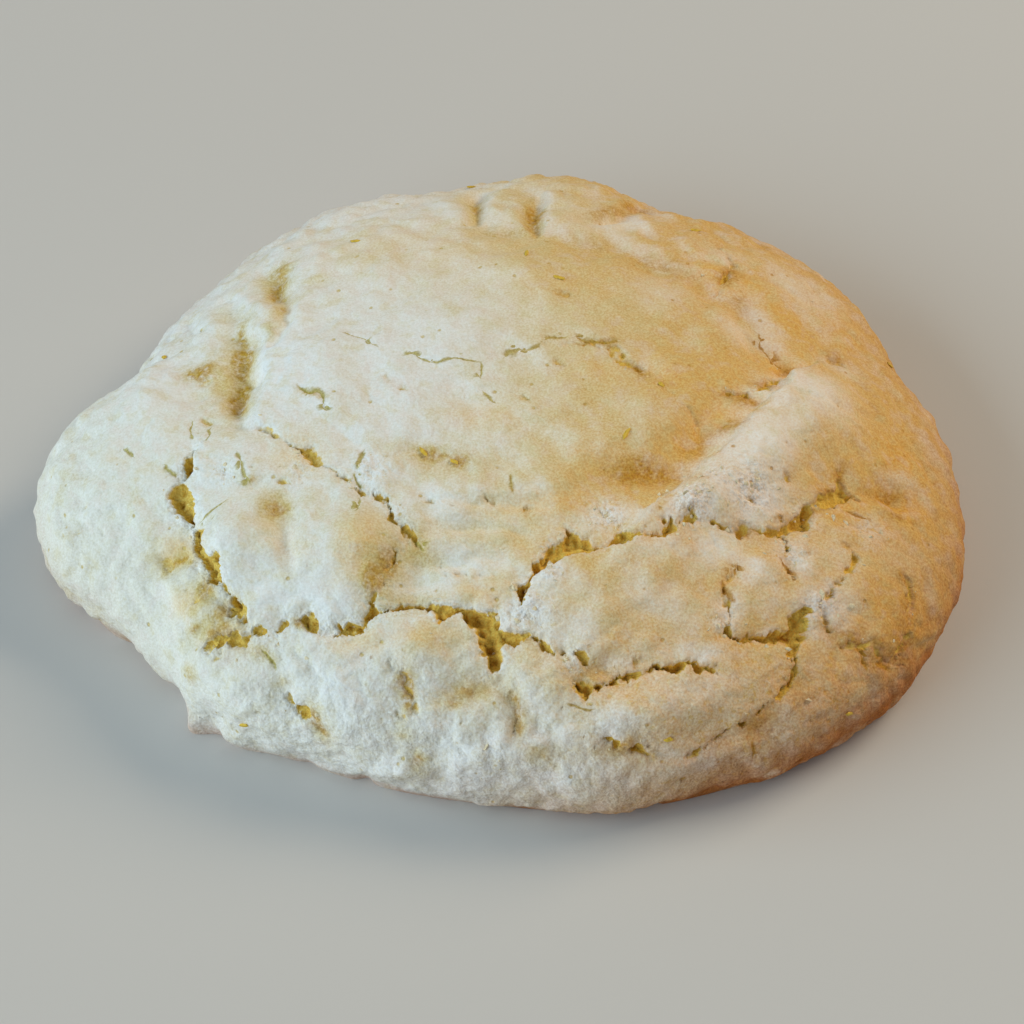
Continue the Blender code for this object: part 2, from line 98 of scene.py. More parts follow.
# Soft folds with rounded walls, as (x, y, half width, depth) from end to end
FOLDS = (
    (
        (-21.2, 11.4, 0.8, 0.2), (-19.8, 8.3, 1, 0.7), (-19.5, 5.4, 1.1, 1.1), (-19.3, 2.6, 1.2, 1.5),
        (-19.2, 0.4, 1.2, 1.6), (-19.4, -1.6, 1, 1.4), (-19, -3.6, 0.7, 0.6),
    ),
    (
        (-16.6, 12.2, 0.7, 0.4), (-16.8, 10, 0.9, 0.8), (-16, 8, 0.6, 0.7), (-15.9, 6, 0.5, 0.6),
        (-17, 4, 0.5, 0.4),
    ),
    (
        (-1.6, 17.4, 1, 0.3), (2.6, 15, 1.2, 0.5), (9, 13.6, 1.3, 0.6), (15.4, 10, 1.3, 0.7),
        (18, 7.4, 1.2, 0.6), (19.2, 4.6, 1, 0.6), (21.2, 2.2, 0.7, 0.7),
    ),
    ((-2.1, 24.5, 0.6, 0.7), (-2.1, 17.8, 0.5, 0.7)),
    ((2.9, 23, 0.5, 0.4), (2.6, 19, 0.6, 0.9), (2.5, 15.6, 0.5, 0.8)),
    ((6.2, 18.4, 0.6, 0.3), (8.6, 19.4, 0.6, 0.6), (11.2, 23, 0.6, 0.6)),
    ((-4.4, -26.8, 0.8, 0.2), (-1.6, -26.6, 0.9, 0.5), (0.8, -27.2, 0.6, 0.5), (1.5, -29.4, 0.4, 0.5)),
    ((-9.4, -31, 0.5, 0.2), (-6.6, -31.2, 0.6, 0.4), (-3.2, -30.6, 0.6, 0.4), (-0.6, -30, 0.5, 0.2)),
    ((-5, -12.6, 0.3, 0.1), (-1, -12.7, 0.35, 0.3), (3.6, -13.3, 0.3, 0.1)),
    ((-5.6, -15.2, 0.35, 0.1), (-2, -14.8, 0.4, 0.35), (1.6, -15.4, 0.3, 0.15)),
    ((-5.2, -17.2, 0.35, 0.2), (-2.8, -17.6, 0.4, 0.4), (-0.2, -17, 0.3, 0.15)),
    ((26.4, -8.8, 0.6, 0.3), (29, -8.4, 1, 0.9), (31, -7.8, 0.7, 0.5)),
)

# Cracks with steep torn walls: how far the crust is raised beside it on the left and right hand of its
# run, then (x, y, half width, depth) from end to end
CRACKS = (
    # left crack and the row of cracks in front of the buns
    (0.6, 0, (
        (-21, -4.9, 0.2, 0.4), (-22.7, -6.4, 0.4, 1.4), (-23.1, -8.4, 0.36, 1.6), (-23.5, -9.4, 0.36, 1.4),
        (-22.7, -11.1, 0.42, 2), (-21.9, -12.8, 0.42, 1.8), (-21.7, -14.4, 0.46, 1.8),
        (-20.6, -15.9, 0.5, 2), (-19.9, -17.3, 0.25, 1), (-19.5, -18.7, 0.45, 2), (-18.5, -20.4, 0.35, 1.4),
    )),
    (0.3, 0.1, (
        (-21.4, -21.2, 0.3, 0.8), (-19.8, -21.6, 0.4, 1.4), (-18.2, -21.5, 0.35, 1.2),
        (-15.8, -21.1, 0.15, 0.7), (-14, -20.8, 0.5, 1.7),
    )),
    (0.3, 0.4, (
        (-14, -20.8, 0.5, 1.7), (-12.6, -22.1, 0.36, 1), (-10.2, -22, 0.45, 2), (-9.2, -21, 0.25, 1.4),
        (-6.6, -20.8, 0.45, 1.8), (-4.6, -21.1, 0.4, 1.2), (-2.4, -21.4, 0.35, 1.5),
    )),
    (0, 0.3, ((-7.3, -16.4, 0.3, 0.7), (-7.9, -18.8, 0.2, 0.8), (-9.4, -20.4, 0.2, 1))),
    # forked pit in the front
    (0.2, 0.3, (
        (-2.4, -21.5, 0.4, 1.4), (-0.8, -22.2, 0.7, 1.7), (-0.4, -23.4, 0.85, 1.5), (-0.5, -24.6, 0.6, 1.6),
        (-0.5, -25.6, 0.3, 1),
    )),
    (0.4, 0, (
        (-0.4, -23.2, 0.7, 1.8), (2.2, -23.4, 0.3, 0.8), (4.4, -24.1, 0.25, 0.8), (6.2, -24.8, 0.25, 0.7),
    )),
    # middle crack, on under the ridge, and what branches off it
    (0, 0.6, (
        (1.5, -20.4, 0.3, 1.4), (1.9, -19.3, 0.35, 2), (3, -17.8, 0.48, 1.6), (4.6, -16.6, 0.48, 1.5),
        (7, -16.6, 0.48, 1.5), (8.8, -15.9, 0.42, 1.6), (11.2, -15.8, 0.3, 1.1), (12.1, -14.9, 0.25, 1.2),
    )),
    (0.5, 0.2, (
        (12.1, -14.9, 0.25, 1.2), (14.6, -14.3, 0.2, 0.9), (17.4, -14.6, 0.26, 1.2), (19, -14.2, 0.1, 0.7),
        (20.6, -13.4, 0.3, 1.6), (22.3, -12.1, 0.4, 1.6), (24, -10.9, 0.45, 1.5), (24.9, -9.2, 0.4, 1.2),
        (24.8, -8.6, 0.2, 0.8),
    )),
    (0.3, 0.2, ((24.9, -9.2, 0.4, 1.2), (27, -9.4, 0.2, 0.6))),
    (0, 0, ((4.6, -16.6, 0.35, 1.4), (4.8, -15.3, 0.25, 1.1))),
    # front and right
    (0.2, 0.3, (
        (6.1, -26.8, 0.35, 2.1), (9.6, -26.1, 0.25, 1.8), (12.4, -25.1, 0.3, 1.7), (15.2, -25.1, 0.2, 1),
    )),
    (0.3, 0.1, (
        (16.8, -17.2, 0.12, 0.3), (16.4, -19.4, 0.25, 0.8), (15.8, -21.2, 0.12, 0.3),
        (16.4, -22.7, 0.3, 1.4),
    )),
    (0.2, 0.3, ((16.4, -22.7, 0.3, 1.6), (19.4, -22.3, 0.3, 1.7), (22.2, -21.8, 0.35, 1.6))),
    (0.2, 0.2, (
        (20, -14.4, 0.2, 0.7), (20.9, -17.2, 0.15, 0.8), (21.8, -19.4, 0.2, 1), (21.5, -21.6, 0.45, 1.6),
        (21.5, -24.8, 0.35, 1.2), (19.8, -27.4, 0.35, 1.1), (17, -29.2, 0.3, 0.9), (14.2, -30.9, 0.25, 0.6),
    )),
    (0.3, 0.1, (
        (25.6, -14.4, 0.25, 0.8), (25, -16.6, 0.2, 0.7), (23, -19.2, 0.15, 0.6), (23.9, -20.5, 0.4, 0.9),
    )),
    (0.2, 0.2, (
        (25.4, -21.7, 0.3, 0.6), (28, -21.1, 0.2, 0.4), (28.9, -22.4, 0.2, 0.5), (31, -21.6, 0.2, 0.35),
    )),
    # round the cap, and at the sides and foot
    (0.3, 0, (
        (-18.6, -4.2, 0.3, 0.6), (-16.2, -6, 0.25, 0.7), (-14, -7.6, 0.3, 0.8), (-13, -9.2, 0.2, 0.6),
    )),
    (0.3, 0, (
        (-13, -9.2, 0.2, 0.6), (-10, -11, 0.2, 0.7), (-8.2, -12.6, 0.22, 0.9), (-6.8, -14.5, 0.22, 1),
        (-5.8, -16, 0.15, 0.6), (-4, -18.4, 0.15, 0.4), (0.4, -18.6, 0.12, 0.3),
    )),
    (0, 0.1, ((0.6, 0.2, 0.1, 0.1), (3.4, 1.3, 0.1, 0.2), (7.2, 1.8, 0.2, 0.4), (9.9, -0.5, 0.35, 0.8))),
    (0, 0.1, ((11.9, -2.8, 0.1, 0.2), (14.2, -4.6, 0.15, 0.3))),
    (0.1, 0.1, ((16.2, 9.6, 0.25, 1.1), (17.8, 13.4, 0.2, 0.8), (17.4, 16.6, 0.2, 0.5))),
    (0.1, 0, ((16.2, -1.8, 0.25, 0.9), (18, -2.5, 0.3, 1))),
    (0.3, 0.1, (
        (21.8, 2.2, 0.35, 1.2), (20.8, 0.6, 0.15, 0.6), (19.3, -0.7, 0.35, 1), (18.6, -1.8, 0.2, 0.3),
    )),
    (0.1, 0.1, ((-16, -25.8, 0.2, 0.7), (-14.6, -27.2, 0.4, 1.3), (-13.4, -28.9, 0.3, 1.2))),
    (0.1, 0.1, ((-7.8, -24.6, 0.2, 0.45), (-6.6, -26.4, 0.22, 0.5), (-6, -28, 0.2, 0.4))),
    (0.1, 0.2, ((6.6, -30.6, 0.2, 0.5), (9.9, -30.7, 0.3, 1.1), (11.4, -31.4, 0.2, 0.6))),
    (0, 0, ((1.5, -28.3, 0.12, 0.3), (1.6, -29.6, 0.18, 0.4))),
    (0.1, 0.1, (
        (30.2, -15.4, 0.3, 0.8), (30.6, -18, 0.2, 0.5), (30.5, -20, 0.25, 0.6), (30.3, -22, 0.25, 0.5),
    )),
    # round the back
    (0.2, 0.1, ((-16, 27.4, 0.2, 0.5), (-12, 29.6, 0.35, 1.2), (-7.4, 30, 0.3, 1.1), (-4, 32.2, 0.2, 0.5))),
    (0.1, 0.2, ((7, 29, 0.2, 0.5), (10.4, 31.4, 0.35, 1.2), (14.8, 30.6, 0.3, 1), (17.6, 31.8, 0.2, 0.4))),
    (0.2, 0.1, ((26.6, 20.4, 0.2, 0.4), (27.4, 24.2, 0.35, 1.2), (25.4, 27.4, 0.25, 0.9))),
    (0.1, 0.2, ((-28.4, 15.8, 0.2, 0.4), (-26, 19.8, 0.35, 1.1), (-24.6, 24.4, 0.25, 0.7))),
    (0.1, 0.1, ((36.2, 3.4, 0.2, 0.4), (35.4, 7.6, 0.3, 0.9), (36.4, 11, 0.2, 0.4))),
)

# Fine cracks: half width, depth, then places from end to end
HAIRLINES = (
    # on the cap
    (0.1, 0.25, ((-11.3, 3.3), (-10, 2.7), (-9, 1.8))),
    (0.09, 0.25, ((-6.5, 0.6), (-5, -0.3), (-3.2, -0.3), (-2, -0.5))),
    (0.08, 0.2, ((-1.3, -1), (-1.3, -2))),
    (0.08, 0.2, ((-0.9, -3.2), (-0.2, -4))),
    (0.08, 0.2, ((0.9, -11), (1, -12))),
    (0.13, 0.4, ((0.6, 0.2), (1.4, 0.9), (2.6, 1.3))),
    (0.12, 0.4, ((3.1, 1.9), (4.8, 2.2))),
    (0.16, 0.5, ((5.8, 2.1), (8.4, 1.8))),
    (0.06, 0.15, ((19.4, 5.6), (20.2, 4), (21, 2.9))),
    (0.16, 0.5, ((-14.6, -1.7), (-13.9, -2.2), (-13.2, -2.2), (-12.9, -2.8), (-12.7, -3.8), (-12.3, -4))),
    # between the cap and the buns, and left
    (0.13, 0.4, ((-9.6, -8.2), (-9.8, -9.5))),
    (0.13, 0.4, ((-10, -10.3), (-9.9, -11.2))),
    (0.12, 0.35, ((-10, -12.5), (-10.2, -13.4))),
    (0.12, 0.35, ((-6.2, -15.5), (-5.7, -16))),
    (0.13, 0.45, ((-18.7, -7.5), (-18.2, -9), (-17.8, -9.6))),
    (0.06, 0.2, ((-19.8, -11.2), (-21.3, -12))),
    (0.12, 0.35, ((-24.5, -7), (-24, -7.8))),
    (0.13, 0.4, ((-27.6, -4.5), (-27.1, -5.3))),
    (0.1, 0.35, ((-22.8, -3.2), (-22.7, -4.5))),
    (0.09, 0.3, ((-21, -4), (-21.4, -5.4))),
    # front and right
    (0.1, 0.25, ((5.4, -28), (6.6, -28.1))),
    (0.12, 0.35, ((-17, -22.8), (-16.4, -24))),
    (0.12, 0.35, ((19.5, -30.1), (19.7, -31))),
    (0.1, 0.3, ((25.5, -11.2), (27, -11.3))),
    (0.1, 0.3, ((16.7, -17.2), (16.8, -17.7))),
    (0.12, 0.35, ((16.1, -18.7), (16.6, -19.8))),
    (0.12, 0.35, ((20.3, -16.4), (21, -17.3))),
    (0.12, 0.35, ((26.5, -21.8), (27.5, -22.9))),
    (0.12, 0.35, ((28.4, -22.4), (29.6, -22.6))),
)

# Small pits in the crust: x, y, half width, depth
PITS = (
    (-8.2, -2.1, 0.3, 0.35), (-6.9, -2.6, 0.25, 0.3), (1.9, -4, 0.2, 0.3), (2.5, -3.9, 0.18, 0.25),
    (4.6, -0.4, 0.22, 0.3), (4.8, 6.9, 0.25, 0.3), (-12.8, -8.4, 0.22, 0.35), (-4.7, -12.8, 0.25, 0.35),
    (-0.4, -12.6, 0.25, 0.35), (2.2, -13.4, 0.25, 0.35), (-17.3, -8.8, 0.25, 0.45), (-15.5, -10.2, 0.3, 0.5),
    (-32.1, -10, 0.25, 0.3), (-33.5, -10, 0.25, 0.25), (-29.9, -10.5, 0.3, 0.35), (-30.8, -8.4, 0.25, 0.35),
    (-22.3, 1.8, 0.6, 0.35), (-21.3, -2.9, 0.3, 0.35), (-25.4, -14.3, 0.35, 0.35), (-22.5, -17, 0.35, 0.45),
    (-22.2, -18.2, 0.35, 0.5), (6.2, -26.8, 0.45, 0.8), (9.6, -24.9, 0.22, 0.35), (-2, -28.1, 0.25, 0.4),
    (-2.7, -29, 0.22, 0.35), (-7.5, -28, 0.25, 0.4), (-14.5, -23.1, 0.22, 0.35), (-20.7, -22.3, 0.25, 0.35),
    (-17, -25.5, 0.22, 0.35), (-18.5, -26.5, 0.22, 0.35), (14.8, -33.3, 0.25, 0.35),
    (13.5, -29.4, 0.25, 0.35), (16.8, -27.5, 0.25, 0.35), (20.8, -28.7, 0.25, 0.4), (24.8, -31, 0.3, 0.4),
    (12, -15.5, 0.25, 0.4), (12.2, -20.4, 0.22, 0.35), (17.5, -14.4, 0.35, 0.6), (18.1, -12, 0.3, 0.6),
    (20.2, -9.8, 0.3, 0.6), (20.2, -12.9, 0.3, 0.6), (24.8, -13.9, 0.22, 0.35), (22.2, -15.8, 0.22, 0.35),
    (26.9, -22.4, 0.22, 0.35), (25.6, 4.6, 0.3, 0.4), (27.3, -1.1, 0.28, 0.4), (16.3, -5.4, 0.25, 0.45),
    (24.5, -7.8, 0.35, 0.45),
)
# Places where the crust has crumbled and shows white: x, y, half width, strength
CRUMBLY = (
    (-9, -10, 1.8, 0.7), (2, -21.6, 2, 0.8), (3.6, -18.7, 1, 0.8), (7.5, -14, 1.6, 0.9),
    (13.5, -13.5, 1.6, 1), (17.6, -11.6, 2.2, 1), (23.2, -19.5, 1.5, 0.8), (20.8, -15.8, 1.6, 0.7),
    (-19.8, -8.6, 1.2, 0.6), (-14.2, -9.4, 1.4, 0.6), (16, -21.6, 1.2, 0.7), (21.8, -12.4, 1.2, 0.8),
    (27, -12.4, 1.4, 0.6), (-0.5, -31, 1.8, 0.6), (15.2, -11.2, 1.4, 0.7), (-16.6, -22, 1.4, 0.6),
    (5.2, -25.2, 1.4, 0.7),
)

# Ovals of tone in the crust: x, y, half length, half width, turn in degrees, strength
# Soft tan places, many of them painted shade in the hollows and creases
TAN_AND_HOLLOW_SHADE = (
    (-21.2, 1.2, 3, 1.2, 100, 0.6), (-18.8, 3, 4.6, 1.2, 97, 0.8), (-17.4, 12.3, 2.6, 1.6, 100, 0.7),
    (-13.6, 10.8, 1.8, 1.2, 0, 0.5), (-13, 8, 1.2, 0.8, 0, 0.4), (-16.6, 6, 1.8, 0.7, 100, 0.5),
    (-16, -12.4, 1.8, 1.2, 120, 0.8), (-17.2, -14.6, 1.8, 2.6, 0, 0.3), (-1.4, -16.7, 2.6, 1, 0, 0.15),
    (-24, -14.4, 2.4, 0.9, 175, 0.8), (-22.6, -20.5, 1.9, 0.8, 10, 0.8), (-20.2, -21.3, 1.6, 0.8, 0, 0.6),
    (-24, -22.8, 1, 0.9, 0, 0.5), (-8.6, -18.6, 2.4, 1.4, 60, 0.7), (-10.6, -15, 3, 2.6, 0, 0.6),
    (-4.6, -23.2, 2.6, 1.6, 0, 0.25), (-6.6, -20.2, 2.2, 0.8, 0, 0.7), (-6, -9.4, 3.4, 1.2, 165, 0.45),
    (9.4, -10.4, 4, 1.2, 5, 0.5), (14.2, -6.2, 3, 1.2, 60, 0.5), (0, 12, 14, 6, 172, 0.35),
    (2.6, 18.6, 1, 3, 0, 0.6), (-2, 20, 0.9, 2.6, 0, 0.6), (9.6, 20.4, 3, 0.9, 30, 0.6),
    (12, 11.8, 6, 1.5, 155, 0.4), (17, 8.2, 2.6, 1.2, 140, 0.5), (26.2, 5.6, 2.6, 2, 0, 0.5),
    (24.8, -7.6, 2, 1.2, 60, 0.6), (28.4, -8.8, 2.8, 0.9, 5, 0.7), (30.4, -18, 1.2, 4.6, 0, 0.5),
    (8, -20.6, 5, 1.8, 175, 0.3), (3, -30.9, 1.8, 0.8, 0, 0.5), (-7.2, -29.4, 1.2, 0.8, 0, 0.5),
    (-14.2, -28.2, 1.6, 1, 110, 0.6), (25.6, -21.2, 1.8, 0.8, 0, 0.5), (-32.6, -6.6, 1.6, 1.4, 0, 0.4),
    (-20.4, 9.6, 2, 1.2, 100, 0.4), (-15.4, -6.6, 3.2, 1.2, 150, 0.45), (6, 29, 9, 1.6, 0, 0.4),
    (-22, 22, 5, 2.4, 40, 0.4), (30, 16, 2.4, 5, 30, 0.4),
)
# Yellow and golden smears in the creases, partly stains and partly painted shade
SMEARS_AND_SHADE = (
    (-19.6, 6.6, 2, 0.55, 92, 0.7), (-19.4, 3.4, 1.8, 1, 90, 0.9), (-19.4, -0.8, 2.2, 1.1, 92, 0.9),
    (-20.6, 2, 4, 1.3, 95, 0.4), (-22.6, 3.1, 1.4, 0.8, 10, 0.9), (-17, 11.4, 1.8, 0.9, 80, 0.8),
    (-16.6, 7.8, 0.8, 0.5, 60, 0.6), (-17, 5.6, 1, 0.5, 95, 0.5), (-14, 10.9, 1.2, 0.7, 0, 0.3),
    (-19.5, 4.6, 1.8, 0.9, 90, 0.7), (-16.8, 10.2, 1.4, 0.9, 90, 0.6), (-17, 13.4, 1.6, 1.2, 60, 0.6),
    (-19.2, 1, 1.2, 0.6, 90, 1), (-2.1, 21.4, 2.2, 0.5, 92, 0.7), (2.6, 19.2, 2.8, 0.6, 90, 0.9),
    (8.4, 20.8, 2.2, 0.6, 40, 0.6), (10.8, 23, 1.4, 0.8, 30, 0.8), (0.6, 16.6, 2.6, 0.6, 0, 0.35),
    (7, 15, 2.4, 0.8, 160, 0.3), (12.6, 12.2, 2.6, 0.9, 155, 0.45), (17.3, 12, 1.4, 0.5, 60, 0.7),
    (17.9, 8.8, 0.8, 0.6, 0, 0.6), (21.5, 2, 0.8, 0.6, 40, 0.9), (17.4, -2.4, 1.4, 0.6, 160, 0.9),
    (19.3, -0.6, 0.9, 0.6, 160, 0.8), (16.6, -5.5, 0.8, 0.6, 60, 0.8), (25.8, 5.2, 0.9, 0.6, 150, 0.8),
    (6.9, 1.7, 1.4, 0.25, 175, 0.8), (10.2, -0.8, 1.2, 0.5, 150, 0.9), (-13.4, -2.6, 1.4, 0.3, 145, 0.7),
    (-4.6, -8.7, 2.4, 0.8, 162, 0.6), (-2.8, -9.5, 0.8, 0.5, 0, 0.9), (10.6, -9.8, 2.8, 1, 5, 0.9),
    (14.2, -7, 2.6, 0.9, 60, 0.5), (-17.8, -9.6, 0.7, 0.5, 0, 0.6), (-15.9, -12.3, 1.4, 0.8, 130, 0.8),
    (-14, -20.8, 0.8, 0.6, 0, 0.9), (-8.2, -18.2, 2.4, 1.2, 62, 1), (-21.4, -17.2, 1.8, 1.2, 60, 0.6),
    (-20.2, -19.4, 1.8, 1, 30, 0.7), (-22.8, -18.6, 1, 0.6, 40, 0.4), (-17.2, -22.8, 1.4, 0.5, 150, 0.5),
    (-15.6, -24.6, 0.8, 0.5, 0, 0.4), (-23.8, -14.4, 1.9, 0.5, 0, 0.7), (-22.5, -19.8, 1.6, 0.5, 5, 0.6),
    (-20.4, -20.6, 1.8, 0.8, 0, 0.8), (-5.9, -16.4, 1.4, 1.4, 60, 0.45), (7.4, -26, 2.4, 0.9, 5, 0.5),
    (30.4, -20.4, 1.4, 2.2, 0, 0.4), (-24, -22.8, 0.8, 0.6, 0, 0.5), (1.4, -23.3, 1.2, 0.5, 0, 0.7),
    (-2.4, -27, 2.6, 0.9, 8, 0.6), (1.1, -27.6, 0.7, 0.5, 110, 0.7), (1.6, -29, 1.2, 0.55, 92, 0.9),
    (3.4, -31.4, 1.6, 0.5, 140, 0.5), (-6, -31.5, 1.1, 0.8, 0, 0.6), (-6.7, -26.6, 1.8, 0.8, 75, 0.8),
    (-13.9, -28, 1.5, 0.8, 110, 0.9), (9, -30.8, 1.8, 0.5, 5, 0.7), (3, -30.9, 1.2, 0.5, 0, 0.5),
    (-7.2, -29.4, 0.9, 0.6, 0, 0.5), (-4.6, -23.2, 2.2, 1.3, 0, 0.2), (-6.4, -20.3, 2, 0.5, 0, 0.5),
    (17.5, -14.4, 0.8, 0.4, 0, 0.8), (22.4, -11.8, 1.6, 0.5, 45, 0.7), (20.2, -12.9, 0.6, 0.4, 0, 0.7),
    (23.6, -10.4, 1.2, 0.5, 50, 0.8), (24.7, -7.9, 0.8, 0.5, 60, 0.8), (29.2, -8.2, 1.6, 0.8, 10, 0.8),
    (29.2, -10.3, 0.7, 0.4, 0, 0.6), (23.8, -20.8, 1, 0.5, 0, 0.8), (25.8, -21.5, 1.4, 0.7, 0, 0.9),
    (28.6, -21.7, 3, 0.9, 0, 0.6), (30.2, -15.6, 0.7, 0.6, 0, 0.8), (30.5, -17.8, 0.7, 1.2, 0, 0.6),
    (27.8, -21.1, 0.7, 0.4, 0, 0.7), (29, -22.5, 1, 0.4, 0, 0.8), (19.6, -28, 2, 0.8, 55, 0.7),
    (22.2, -25.2, 1.6, 0.8, 60, 0.5), (25.6, 4.6, 0.7, 0.5, 0, 0.6),
)
# Places that stayed white, many of them also painted light on slopes that face the cool light
WHITE_AND_LIT = (
    (22.6, -1.6, 3, 3.2, 60, 0.9), (19.2, -7.6, 5.4, 2.2, 56, 0.9), (16, -11.6, 2.6, 1.6, 45, 0.9),
    (18.2, -12, 3, 1.7, 40, 1), (14.4, -17.2, 2, 1.4, 0, 0.5), (-17, 2.8, 4.2, 1.6, 95, 0.9),
    (-14.6, -1.4, 2.4, 1.6, 140, 0.6), (-17.8, -18.6, 3.4, 1.2, 170, 0.9), (-11.6, -20, 2.6, 1.2, 10, 0.8),
    (-8.6, -9.6, 1.8, 1, 120, 0.8), (1.6, -21.4, 2.6, 1.4, 30, 0.9), (3.6, -18.8, 1.2, 0.8, 60, 0.9),
    (7.6, -14.2, 2.2, 0.8, 10, 0.6), (-1, -17.8, 2.6, 0.9, 0, 0.6), (-4, -12.6, 3, 0.6, 0, 0.5),
    (23.8, -19, 2, 1.4, 0, 0.8), (18, -17.6, 1.6, 0.6, 100, 0.7), (21.6, -16.2, 1, 0.6, 60, 0.8),
    (-14.8, 14.6, 3, 1.6, 100, 0.6), (-0.5, -31, 3, 1, 0, 0.7), (-11.6, -25.6, 1.6, 2, 0, 0.6),
    (14.6, -24, 2.4, 0.6, 10, 0.6), (-26, 10, 5, 2.2, 60, 0.7), (-25.6, 2, 2.4, 5, 0, 0.9),
    (8.6, 18.6, 3.6, 2.2, 20, 0.6), (17.6, 5.6, 2.2, 1.8, 120, 0.5), (23.6, 12.6, 3.4, 2.6, 130, 0.5),
    (16.6, 15, 2.6, 2, 150, 0.4), (-14.7, 5.2, 1.8, 1.2, 100, 0.7), (-6, -26.8, 2, 1.2, 0, 0.4),
    (12, 8.4, 3, 2.4, 160, 0.35), (11.6, -4.8, 2, 1.4, 0, 0.15), (25.8, 4, 2, 1.6, 0, 0.5),
    (11.4, -16.8, 2.6, 1.2, 0, 0.6), (15.6, -16, 1.8, 1.4, 0, 0.9), (5, -23.4, 2.4, 1, 0, 0.5),
    (11.4, -23.6, 2, 0.8, 0, 0.2), (13.5, -26.5, 3, 1.4, 10, 0.4), (3, -29.8, 3, 1.6, 0, 0.8),
    (8, -29.6, 2.6, 1.4, 5, 0.7), (-1.4, -32.6, 3, 1.6, 0, 0.8), (4.6, -33, 4.2, 1.8, 0, 0.9),
    (9.4, -33.4, 2, 1.2, 10, 0.5), (15.4, -31.6, 1.8, 1, 15, 0.6), (-15.6, -28.6, 2.4, 1.4, 30, 0.6),
    (24.2, -15.6, 3, 2, 150, 0.3), (-15.4, 7.4, 1.2, 0.8, 60, 0.9), (29.4, -13.6, 2.4, 2, 0, 0.3),
    (19, -18.4, 1.8, 2.4, 0, 0.3), (16, -20.4, 1.4, 1.4, 0, 0.5), (11.4, -20.4, 4, 1.8, 175, 0.4),
    (-23.6, -1, 2.6, 1, 95, 0.4),
)
# Places that took on a light gold, in part painted shade along the folds and painted warm light on the right
GILT_SHADE_AND_LIGHT = (
    (-5, 13.4, 11, 4.6, 172, 0.35), (16.9, 11.4, 2.2, 1.6, 150, 0.9), (21, 2.4, 2.2, 1.8, 60, 0.9),
    (4.6, 8.2, 4, 2.2, 0, 0.35), (16.4, -0.2, 2.2, 1.6, 60, 0.3), (-1.4, -5.4, 2.4, 1.4, 0, 0.5),
    (7.2, -1, 2.4, 1.4, 0, 0.4), (30, -4.8, 2, 2.4, 0, 0.8), (-14.2, -15.8, 1.6, 2, 0, 0.4),
    (-23, -17.6, 1.8, 1.2, 0, 0.7), (-1.3, -20, 2, 1, 0, 0.7), (14, -6.8, 3, 1.3, 60, 0.5),
    (24.8, -18.6, 2.2, 1.8, 0, 0.5), (11.8, -29.4, 1.8, 1, 0, 0.6), (8.8, -23.6, 3.6, 1.2, 5, 0.5),
    (11.6, -0.8, 2.2, 1.6, 160, 0.6), (15.9, -4.2, 1.6, 1.4, 120, 0.9), (7.1, -9.3, 2.8, 1.4, 0, 0.6),
    (-14.2, -8.4, 2.2, 1.4, 150, 0.8), (-5.6, -9, 2.8, 1.2, 165, 0.4), (5, -13.1, 3.6, 1.2, 0, 0.8),
    (25, -10.4, 2.4, 1.8, 50, 0.9), (30.4, -8.8, 2, 2.6, 0, 0.9), (-23.5, -13.6, 2.2, 1.2, 0, 0.9),
    (-5.7, -16.2, 1.6, 1.4, 60, 0.9), (3.2, -16.8, 2.6, 1, 0, 0.5), (-19.4, -21.4, 1.8, 1, 0, 0.9),
    (-10, -22.8, 2.2, 1.2, 0, 0.8), (-5.5, -23.2, 2.4, 1.4, 0, 0.9), (30.6, -19.6, 1.8, 3.4, 0, 1),
    (-1.5, -26.4, 2.2, 1, 0, 0.5), (8.2, -26.5, 3.4, 1.3, 5, 0.95), (25.3, -24.7, 3, 2, 40, 1),
    (21, -22.4, 1.6, 1.6, 0, 0.8), (21, -25.6, 1.8, 1.4, 0, 0.7), (17, -29.3, 2.2, 1.4, 10, 0.5),
    (20.4, -29, 2.6, 2, 30, 0.5), (-19.8, 1, 1.4, 3.4, 0, 0.7), (-9.4, -16.4, 2.6, 2, 60, 0.9),
    (-15.8, -13, 1.2, 1.4, 0, 0.5), (27, -19.6, 3, 2.2, 60, 0.5), (28.4, -12.2, 2, 2, 0, 0.5),
    (21.4, 8.4, 3.4, 1.6, 120, 0.4), (26.4, 9.6, 3, 2, 120, 0.4), (-16.6, 8.4, 2.6, 1.6, 90, 0.5),
)

# Flecks of zest: x, y, length, turn in degrees
ZEST = (
    (4.3, 8.7, 1, 10), (9, -7.1, 1.1, 20), (2, 12, 0.7, 80), (-5.4, -8.4, 0.9, 150), (-3.2, -9.3, 0.7, 170),
    (11.6, -2.2, 0.6, 40), (-11, 15.4, 0.8, 120), (-26.4, 6.8, 0.8, 60), (15.2, 18.6, 0.9, 30),
    (-2.4, 27.6, 0.8, 5), (22.6, 24.8, 0.8, 100), (31.2, 8.4, 0.7, 70), (-20.6, -27.4, 0.7, 20),
    (12.4, -30, 0.6, 0), (27.6, -26.6, 0.7, 150), (-18.2, 25.2, 0.7, 45),
)
# Ledge, where the crust on the left hand of its run stands higher
LEDGE = ((21.9, 1.1), (19.7, -2.1), (17.6, -5.4), (15.4, -8.2), (13.6, -10.2), (11.4, -12.5), (9.9, -14))
LEDGE_HEIGHT = 0.9
LEDGE_REACH = 3.6  # how far back from its edge it stands
LEDGE_EDGE = 0.75  # width over which it climbs
LEDGE_GRAIN = 0.5  # how far its edge keeps to the grains of dough

